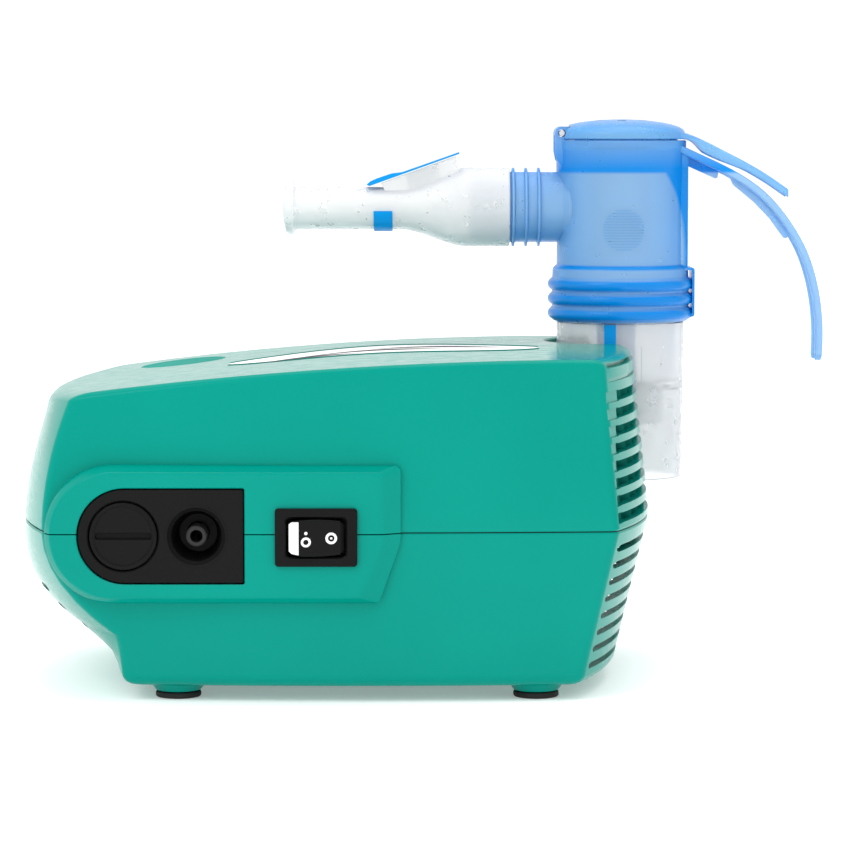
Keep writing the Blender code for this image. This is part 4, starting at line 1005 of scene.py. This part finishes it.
def make_wave_graphic():
    """A plain wave: white print between two dark lines, with three strokes along it."""
    left, right, steps, sunk = -56.0, 29.0, 72, -0.1

    def printed(low_at, high_at, height, start=0.0, end=1.0):
        """A strip along X between two curves of y, over part of the graphic's length."""
        pairs = []
        for k in range(steps + 1):
            share = start + (end - start) * k / steps
            x = left + (right - left) * share
            pairs.append(((x, low_at(share)), (x, high_at(share))))
        return band(pairs, on_top, sunk, height)

    def middle(share):
        return CENTRE_Y + 6.0 + 8.0 * math.sin(6.0 * share - 1.2)

    def half(share):
        return 15.0 * math.sin(math.pi * min(max(share, 0.003), 0.997)) ** 0.5

    def border(side):
        return printed(lambda s: middle(s) + side * half(s),
                       lambda s: middle(s) + side * (half(s) + 5.0), 0.035)

    def stroke(offset, start, end):
        def high_at(share):
            swell = math.sin(math.pi * min(max((share - start) / (end - start), 0.004), 0.996))
            return middle(share) + offset - 1.35 + 6.0 * swell

        return printed(lambda s: middle(s) + offset - 1.4, high_at, 0.045, start, end)

    white = printed(lambda s: middle(s) - half(s), lambda s: middle(s) + half(s), 0.03)
    strokes = [stroke(*place) for place in ((-11.5, 0.10, 0.42), (-5.0, 0.24, 0.72), (3.0, 0.46, 0.92))]
    piece("wave_print", white, PRINT, "housing")
    piece("wave_outline", merge([border(-1), border(1)]), OUTLINE, "housing")
    piece("wave_strokes", merge(strokes), INK, "housing")


# Nebulizer pieces

def spun(profile, steps=96):
    """A profile turned about the nebulizer's axis."""
    return turned(profile, NEB_AXIS, steps=steps)


def across(outline, half):
    """A prism that reaches half its width to each side of the nebulizer's axis."""
    return prism(outline, NEB_Y - half, NEB_Y + half)


def make_cup():
    """The clear cup: hollow skirt, stepped reservoir, jet tower, level mark and moulded window."""
    top = RING_LOW_Z + 9
    outer = beside(CUP_R, CUP_Z, ((-0.95, 0), (-0.65, 0.1), (-0.5, 0.5)))
    rise = SHOULDER_Z - CUP_Z - 0.5
    outer += [(CUP_R - 0.5 + 0.5 * k / 8, CUP_Z + 0.5 + rise * k / 8) for k in range(1, 9)]
    profile = [(1.6, 52.5), (3.3, 52.5), (3.7, 54.0), (3.7, 66.2), (12.1, 66.2), (12.1, 76.3), (15.9, 76.3),
               (16.3, 75.8), (16.15, 60.0), (16.0, CUP_Z + 0.3), (16.2, CUP_Z)] + outer
    profile += [(16.9, SHOULDER_Z + 0.2), (16.9, top), (15.5, top), (15.5, 79.0), (14.9, 77.8), (10.8, 77.8),
                (10.6, 71.5), (9.9, 69.0), (8.6, 67.8), (3.3, 67.7), (2.5, 85.0), (1.0, 86.0), (1.0, 84.0),
                (1.6, 82.5)]
    shape = spun(profile)
    piece("cup", shape, CLEAR, "nebulizer_cup", ["nebulizer_cup"])

    def on_cup(angle, z, height):
        radius = CUP_R - 0.5 + 0.5 * (z - CUP_Z) / (SHOULDER_Z - CUP_Z) + height
        return (NEB_X + radius * math.sin(angle), NEB_Y - radius * math.cos(angle), z)

    left, right, low, high, width = -0.06, 0.30, 77.6, 88.6, 0.22
    turn = width / CUP_R
    sides = ((left, right, high - width, high), (left, right, low, low + width),
             (left, left + turn, low, high), (right - turn, right, low, high))
    marks = [band(level_pairs(a0, a1, 6, z0, z1), on_cup, -0.12, 0.09) for a0, a1, z0, z1 in sides]
    marks.append(band(level_pairs(0, math.tau, ROUND, 77.5, 77.8)[:-1], on_cup, -0.1, 0.07, True))
    piece("cup_marks", merge(marks), CLEAR, "nebulizer_cup")
    insert = (
        (3.7, 68.2), (8.6, 68.2), (8.8, 68.6), (8.6, 69.2), (6.2, 69.9), (5.2, 71.0), (4.3, 89.0),
        (4.3, 98.6), (4.0, 99.4), (3.4, 100.4), (1.2, 100.4), (1.2, 99.4), (3.5, 98.6), (3.5, 88.6),
        (3.9, 71.0),
    )
    jet = raw("jet", spun(insert, 56))
    join(jet, block((NEB_X - 6.6, NEB_Y - 0.7, 84.0), (NEB_X - 3.9, NEB_Y + 0.7, 99.0)))
    finish_piece(jet, BLUE_RING, "nebulizer_cup", ["jet_insert"])
    guide = band(level_pairs(-0.30, -0.115, 6, 84.0, SHOULDER_Z - 0.05), on_cup, -0.6, 0.05)
    piece("jet_guide", guide, SILICONE_BLUE, "nebulizer_cup")


def ring_profile():
    """Three rounded bands round the grip ring, and a narrower collar above them."""
    bulge = ((0.06, -1.15), (0.16, -0.5), (0.3, -0.1), (0.46, 0.0), (0.62, -0.1), (0.76, -0.45),
             (0.86, -0.9), (0.95, -1.2))
    bands = [(RING_R + out, BAND_LOW_Z + BAND_PITCH * k + BAND_PITCH * share)
             for k in range(3) for share, out in bulge]
    return [(0, RING_LOW_Z), *beside(RING_R, RING_LOW_Z, ((-1.6, 0), (-1.5, 0.15))), *bands,
            (RING_R - 1.3, BAND_LOW_Z + 3 * BAND_PITCH + 0.1),
            *beside(RING_R, RING_HIGH_Z, ((-1.35, -0.9), (-1.6, -0.3), (-1.9, 0)))]


HANDLE_PATH = (
    (66.8, 145.0), (72.6, 142.2), (83.4, 137.1), (91.3, 132.1), (97.1, 126.4), (101.6, 120.2),
    (104.9, 114.0), (107.2, 107.2), (108.7, 99.6), (109.3, 91.7), (109.1, 84.0),
)
TAB_TOP = (
    (58.0, 151.2), (63.0, 150.4), (68.3, 149.1), (73.0, 147.6), (77.5, 145.6), (83.0, 142.8),
    (88.6, 139.9), (94.4, 136.5), (100.4, 132.4),
)


def make_chamber():
    """The upper chamber in one moulding: grip ring, spigot, gusset, handle and hinge lugs."""
    x, y = NEB_X, NEB_Y
    body = ring_profile()
    body += beside(CUP_R, RING_HIGH_Z, ((0.5, 0.1), (0, 0.5)))
    body += beside(CUP_R, 0, ((-0.1, 125.0), (0, 136.4), (0.12, 136.9), (0.12, 143.2), (0.25, 143.6),
                              (0.4, 144.2)))
    body += [*beside(CUP_R, RIM_Z, ((0.4, -0.25), (0.15, 0))), (0, RIM_Z)]
    upper = raw("chamber", spun(body))
    spigot = [(0, SPIGOT_END_X), (9.2, SPIGOT_END_X), (9.45, SPIGOT_END_X + 0.3), (9.45, MOUTH_END_X),
              (SPIGOT_R, MOUTH_END_X + 0.2)]
    rib = ((SPIGOT_R, 0.6), (SPIGOT_R + 0.25, 0.42), (MOUTH_R - 0.15, 0.36), (MOUTH_R, 0.2))
    for rib_x in (22.8, 26.4, 30.0):
        spigot += [(radius, rib_x - half) for radius, half in rib]
        spigot += [(radius, rib_x + half) for radius, half in reversed(rib)]
    spigot += [(SPIGOT_R, x - 16.6), (SPIGOT_R + 1.2, x - 15.0), (SPIGOT_R + 1.2, x - 12), (0, x - 12)]
    join(upper, turned(spigot, (0, y, TUBE_Z), "X", 64))
    low = RING_HIGH_Z - 1.0
    gusset = beside(x, 0, ((14.0, low), (18.7, low), (18.7, 143.0), (8.0, 143.6), (10.5, 141.0),
                           (13.4, 137.0), (15.4, 131.0), (16.8, 122.0)))
    join(upper, across(gusset, 6.8))
    handle = smooth_path(HANDLE_PATH, 44)
    join(upper, strap(handle, lambda s: 16 - 3.5 * s, lambda s: 2.15 - 0.1 * s, y, 0.55))
    first_web = ((69.3, 143.0), (71.8, 138.9), (80.1, 135.2), (80.7, 135.5), (81.1, 138.0))
    second_web = ((83.6, 136.6), (85.2, 133.4), (91.0, 128.6), (95.4, 124.0), (99.5, 118.4), (100.3, 118.3),
                  (101.9, 119.8), (92.0, 131.6))
    for web in (first_web, second_web):
        join(upper, across(web, 0.8))
    lug = beside(HINGE_X, 0, ((1.9, 138.0), (0.6, 137.6), (-1.4, 140.5), (-1.9, 143.0)))
    lug += arc((HINGE_X, HINGE_Z), 1.9, 180, 0, 14)
    join(upper, merge([prism(lug, y + a, y + a + 2.4) for a in (-7.6, 5.2)]))
    cut(upper, disc(1.1, y - 9, y + 9, (HINGE_X, 0, HINGE_Z), "Y", 24))
    chamber = ((0, 90), (17.3, 90), (17.3, 104.6), (16.6, 105.2), (16.6, 143.2), (8.5, 143.2), (8.5, 113),
               (0, 113))
    cut(upper, spun(chamber))
    cut(upper, disc(16.4, 144.6, 160, NEB_AXIS, steps=96))
    cut(upper, disc(7.3, 110, 150, NEB_AXIS, steps=64))
    cut(upper, disc(8.2, SPIGOT_END_X - 2, x - 12.0, (0, y, TUBE_Z), "X", 64))
    finish_piece(upper, CHAMBER_BLUE, "nebulizer_upper", ["nebulizer_upper"])


def make_chamber_marks():
    """A disc of fine moulded lines on the chamber's front."""
    def on_wall(across, z, height):
        angle = across / CUP_R
        return (NEB_X + (CUP_R + height) * math.sin(angle), NEB_Y - (CUP_R + height) * math.cos(angle), z)

    lines = []
    for k in range(-7, 8):
        up = 0.78 * k
        z = 121.0 + up
        reach = math.sqrt(max(5.9 ** 2 - up ** 2, 0.3))
        lines.append(band(level_pairs(-reach, reach, 10, z - 0.13, z + 0.13), on_wall, -0.15, 0.06))
    piece("chamber_lines", merge(lines), BLUE, "nebulizer_upper")


def make_ring_frame():
    """The open frame that stands on the grip ring at the right."""
    low, high = RING_LOW_Z + 1.2, RING_HIGH_Z - 0.2
    middle = (low + high) / 2
    outer = rounded_rectangle((NEB_X + 18.6, middle), (4.2, high - low), 0.8, 4)
    inner = rounded_rectangle((NEB_X + 17.9, middle), (4.2, high - low - 1.4), 0.6, 4)
    made = raw("ring_frame", across(outer, 6.5))
    cut(made, across(inner, 8))
    finish_piece(made, BLUE_RING, "nebulizer_upper")


def lid_tab(y):
    """The lid's tab: a fan that grows out of the dome and narrows into a crowned strip."""
    rings = []
    path = smooth_path(TAB_TOP, 40)
    for x, top in path:
        out = x - TAB_TOP[0][0]
        end = 0.9 if x == path[-1][0] else 1.0
        half = (6.2 + 7.0 * (1 - smoothstep(out / 19)) - 0.02 * out) * end
        crown = 0.3 + 1.3 * (1 - smoothstep(out / 19))
        depth = 1.4 + 2.0 * smoothstep((out - 15) / 4) - 1.1 * smoothstep((out - 20) / 12)
        upper = [(0.1 * share * half, top - crown * (0.1 * share) ** 2) for share in range(-9, 10)]
        rim = top - crown
        side = [(half * 0.97, rim - 0.25), (half, rim - 0.6), (half * 0.97, rim - depth + 0.1)]
        lower = [(half * 0.8, top - depth - 0.5 * crown), (half * 0.72, top - depth - 0.4 * crown + 0.3)]
        section = upper + side + lower + [(-a, z) for a, z in reversed(side + lower)]
        rings.append([(x, y + a, z) for a, z in section])
    return loft(rings)


def make_lid():
    """The hinged lid: shallow dome, inlet holes, knuckle, and the long tab over the handle."""
    x, y = NEB_X, NEB_Y
    low = RIM_Z + 0.3
    dome = [(0, low), (18.1, low), (18.4, low + 0.25), (18.4, 147.7), (18.1, 148.3)]
    dome += [(18.1 * math.cos(math.radians(d)), 148.3 + 3.6 * math.sin(math.radians(d)))
             for d in (12, 25, 38, 50, 62, 74, 84)]
    dome.append((0, 151.9))
    lid = raw("lid", spun(dome))
    cut(lid, block((HINGE_X - 7, y - 8, 140), (HINGE_X + 2.4, y + 8, 155)))
    join(lid, lid_tab(y))
    inside = ((0, 140), (16.4, 140), (16.4, 148.0), (10.0, 149.9), (0, 150.7))
    cut(lid, spun(inside))
    knuckle = [*arc((HINGE_X, HINGE_Z), 1.85, 270, 90, 16), (HINGE_X + 5.0, 149.85), (HINGE_X + 1.6, low)]
    join(lid, across(knuckle, 4.7))
    cut(lid, disc(1.1, y - 9, y + 9, (HINGE_X, 0, HINGE_Z), "Y", 24))
    holes = []
    for k in range(6):
        angle = math.tau * (k + 0.5) / 6
        holes.append(disc(1.4, 145, 156, (x + 7 * math.cos(angle), y + 7 * math.sin(angle), 0), steps=24))
    cut(lid, merge(holes))
    lip = ((15.3, 144.9), (16.1, 144.9), (16.1, RIM_Z + 0.9), (15.3, RIM_Z + 0.9))
    join(lid, spun(lip))
    cut(lid, block((HINGE_X - 3, y - 10, 144), (HINGE_X + 5, y + 10, RIM_Z + 0.1)))
    finish_piece(lid, BLUE, "inlet_cap", ["inlet_cap"])


FLAP_ROOT = (-18.4, 132.9)
FLAP_TIP = (7.6, 142.2)


def flap_point(along, up):
    run = Vector((FLAP_TIP[0] - FLAP_ROOT[0], FLAP_TIP[1] - FLAP_ROOT[1])).normalized()
    return (FLAP_ROOT[0] + run.x * along - run.y * up, FLAP_ROOT[1] + run.y * along + run.x * up)


def mouth_section(x, grow):
    taper = smoothstep((x - CONE_X[0]) / (CONE_X[1] - CONE_X[0]))
    width, height = (flat + (MOUTH_R - flat) * taper + grow for flat in MOUTH_FLAT)
    return width, height, TUBE_Z - 0.3 + 0.3 * taper


def mouth_ring(x, grow, bulge=0.0, steps=64):
    width, height, centre = mouth_section(x, grow)
    ring = []
    for k in range(steps):
        angle = math.tau * k / steps
        shift = bulge * math.sin(angle) ** 2
        ring.append((x + shift, NEB_Y + width * math.cos(angle), centre + height * math.sin(angle)))
    return ring


def make_mouthpiece():
    """The milky mouthpiece: flanged oval end, swelling to a round socket, with the valve's seat."""
    y = NEB_Y
    taper_x = [CONE_X[0] + (CONE_X[1] - CONE_X[0]) * k / 14 for k in range(15)]
    rings = [mouth_ring(x, grow, 0.9) for x, grow in ((MOUTH_LEFT_X + 0.2, 0.6), (MOUTH_LEFT_X, 1.0),
                                                      (MOUTH_LEFT_X + 0.3, 1.4), (MOUTH_LEFT_X + 1.2, 1.5))]
    rings += [mouth_ring(x, grow) for x, grow in ((-39.4, 1.4), (-39.1, 1.0), (-38.9, 0.3), (-38.3, 0.0))]
    rings += [mouth_ring(x, 0.0) for x in (-30.0, -22.0, -14.0, *taper_x, 16.0, MOUTH_END_X - 0.4)]
    rings.append(mouth_ring(MOUTH_END_X, -0.3))
    mouth = raw("mouth_tube", loft(rings))
    seat = [flap_point(4.0, -0.35), flap_point(26.4, -0.35), (7.4, 138.0), (8.2, 134.0), (0.0, 130.0),
            (-12.0, 129.0)]
    join(mouth, across(seat, 4.6))
    inner = [mouth_ring(x, -1.4) for x in (MOUTH_LEFT_X - 2, -20.0, *taper_x, MOUTH_END_X + 2)]
    cut(mouth, loft(inner))
    port = [flap_point(12.0, 3.0), flap_point(22.0, 3.0), (2.6, 128.0), (-6.0, 128.0)]
    cut(mouth, across(port, 2.6))
    finish_piece(mouth, MILKY, "mouthpiece", ["mouthpiece"])
    width, height, centre = mouth_section(-15.0, GAP)
    rings = []
    for x, inset in ((-16.6, 0.3), (-16.3, 0.0), (-11.6, 0.0), (-11.3, 0.3)):
        ring = []
        for grow, direction in ((0.25 - inset * 0.5, 1), (-0.27, -1)):
            curve = arc((0, 0), 1.0, -174, -6, 40)[::direction]
            ring += [(x, y + (width + grow) * a, centre + (height + grow) * b) for a, b in curve]
        rings.append(ring)
    piece("anchor_band", loft(rings), SILICONE_BLUE, "mouthpiece", ["flap_anchor"])


def make_flap():
    """The exhalation flap: a thin strip with a thicker root and slightly rounded sides."""
    outline = [flap_point(along, up) for along, up in (
        (0.6, 0.0), (27.5, 0.0), (27.7, 0.2), (27.6, 0.45), (18.0, 0.5), (10.5, 0.55), (9.4, 0.8),
        (8.0, 1.15), (7.0, 1.25), (3.0, 1.3), (1.2, 1.15), (0.0, 0.7))]
    middle = Vector([sum(place) for place in zip(*outline)]) / len(outline)

    def outline_at(inset):
        moves = [(middle - Vector(point)).normalized() * inset for point in outline]
        return [(x + move.x, z + move.y) for (x, z), move in zip(outline, moves)]

    levels = ((-5.0, 0.12), (-4.75, 0.0), (4.75, 0.0), (5.0, 0.12))
    flap = stacked(outline_at, [(NEB_Y + v, inset) for v, inset in levels])
    piece("flap", flap, SILICONE_BLUE, "exhale_flap", ["exhale_flap"])


# Carried-over CAD nodes

CARRIED = (
    (FOAM, "filter_element"), (FOIL, "rating_plate"), (BLACK, "mains_inlet cooling_fan connecting_rod"),
    (LAMINATE, "motor_stator rotor_core"), (COPPER, "winding_front winding_rear"),
    (ALLOY, "motor_bracket_front motor_bracket_rear crank_eccentric cylinder_block cylinder_head base_plate"),
    (STEEL, "motor_bearing_front motor_bearing_rear motor_shaft cap_hinge_pin"), (RUBBER, "piston_seal"),
    (SILICONE, "intake_tube outlet_tube"), (SILICONE_BLUE, "inlet_valve_disc"),
    (STEEL, " ".join(f"housing_screw_{n}" for n in FOUR)),
    (RUBBER, " ".join(f"rubber_mount_{n}" for n in FOUR)),
)


def dress_cad_nodes():
    for material, names in CARRIED:
        for name in names.split():
            materials = frame["nodes"][name].data.materials
            materials.clear()
            materials.append(material)


# Floor, light and camera

WHITE = (1.0, 1.0, 1.0, 1.0)
FLOOR_GLOW = 0.25
FLOOR_HALF = 6.0
SKY_STRENGTH = 1.06
CAMERA_PLACE = (-0.0027, -0.997, 0.1485)
CAMERA_PITCH = 4.58
CAMERA_LENS = 154.9


def make_stage():
    paint = moulded("floor_white", (0.97, 0.97, 0.97), 0.7, 300.0, 0.02, 0.005, specular=0.1)
    shader = paint.node_tree.nodes["Principled BSDF"]
    shader.inputs["Emission Color"].default_value = WHITE
    shader.inputs["Emission Strength"].default_value = FLOOR_GLOW
    corners = [(x * FLOOR_HALF, y * FLOOR_HALF, 0) for x, y in ((-1, -1), (1, -1), (1, 1), (-1, 1))]
    mesh = bpy.data.meshes.new("floor")
    mesh.from_pydata(corners, [], [(0, 1, 2, 3)])
    mesh.materials.append(paint)
    new_object("floor", mesh)


def make_light(name, place, aim, size, power):
    light = bpy.data.lights.new(name, "AREA")
    light.shape = "RECTANGLE"
    light.size = light.size_y = size
    light.energy = power
    lamp = new_object(name, light)
    lamp.location = place
    lamp.rotation_euler = (Vector(aim) - Vector(place)).to_track_quat("-Z", "Y").to_euler()


def make_lighting():
    world = bpy.data.worlds.new("studio")
    world.use_nodes = True
    background = world.node_tree.nodes["Background"]
    background.inputs["Color"].default_value = WHITE
    background.inputs["Strength"].default_value = SKY_STRENGTH
    bpy.context.scene.world = world
    make_light("key", (-0.9, -1.0, 1.3), (0.0, 0.0, 0.06), 0.9, 9.0)
    make_light("top", (0.2, 0.2, 1.5), (0.0, 0.0, 0.05), 1.2, 9.0)


def make_camera():
    """The photograph's view: about 1 m away, and CAMERA_PITCH degrees down."""
    camera = bpy.data.cameras.new("camera")
    camera.lens = CAMERA_LENS
    camera.sensor_width = 36.0
    camera.clip_end = 20.0
    made = new_object("camera", camera)
    made.location = CAMERA_PLACE
    made.rotation_euler = (math.radians(90.0 - CAMERA_PITCH), 0.0, 0.0)
    bpy.context.scene.camera = made
    bpy.context.scene.view_settings.view_transform = "Standard"


make_upper_housing()
make_lower_housing()
make_split_line_shade()
make_vent_ribs()
make_port_block()
make_filter_cap()
make_switch()
make_feet()
make_badge()
make_wave_graphic()
make_cup()
make_chamber()
make_chamber_marks()
make_ring_frame()
make_lid()
make_mouthpiece()
make_flap()
dress_cad_nodes()
make_stage()
make_lighting()
make_camera()
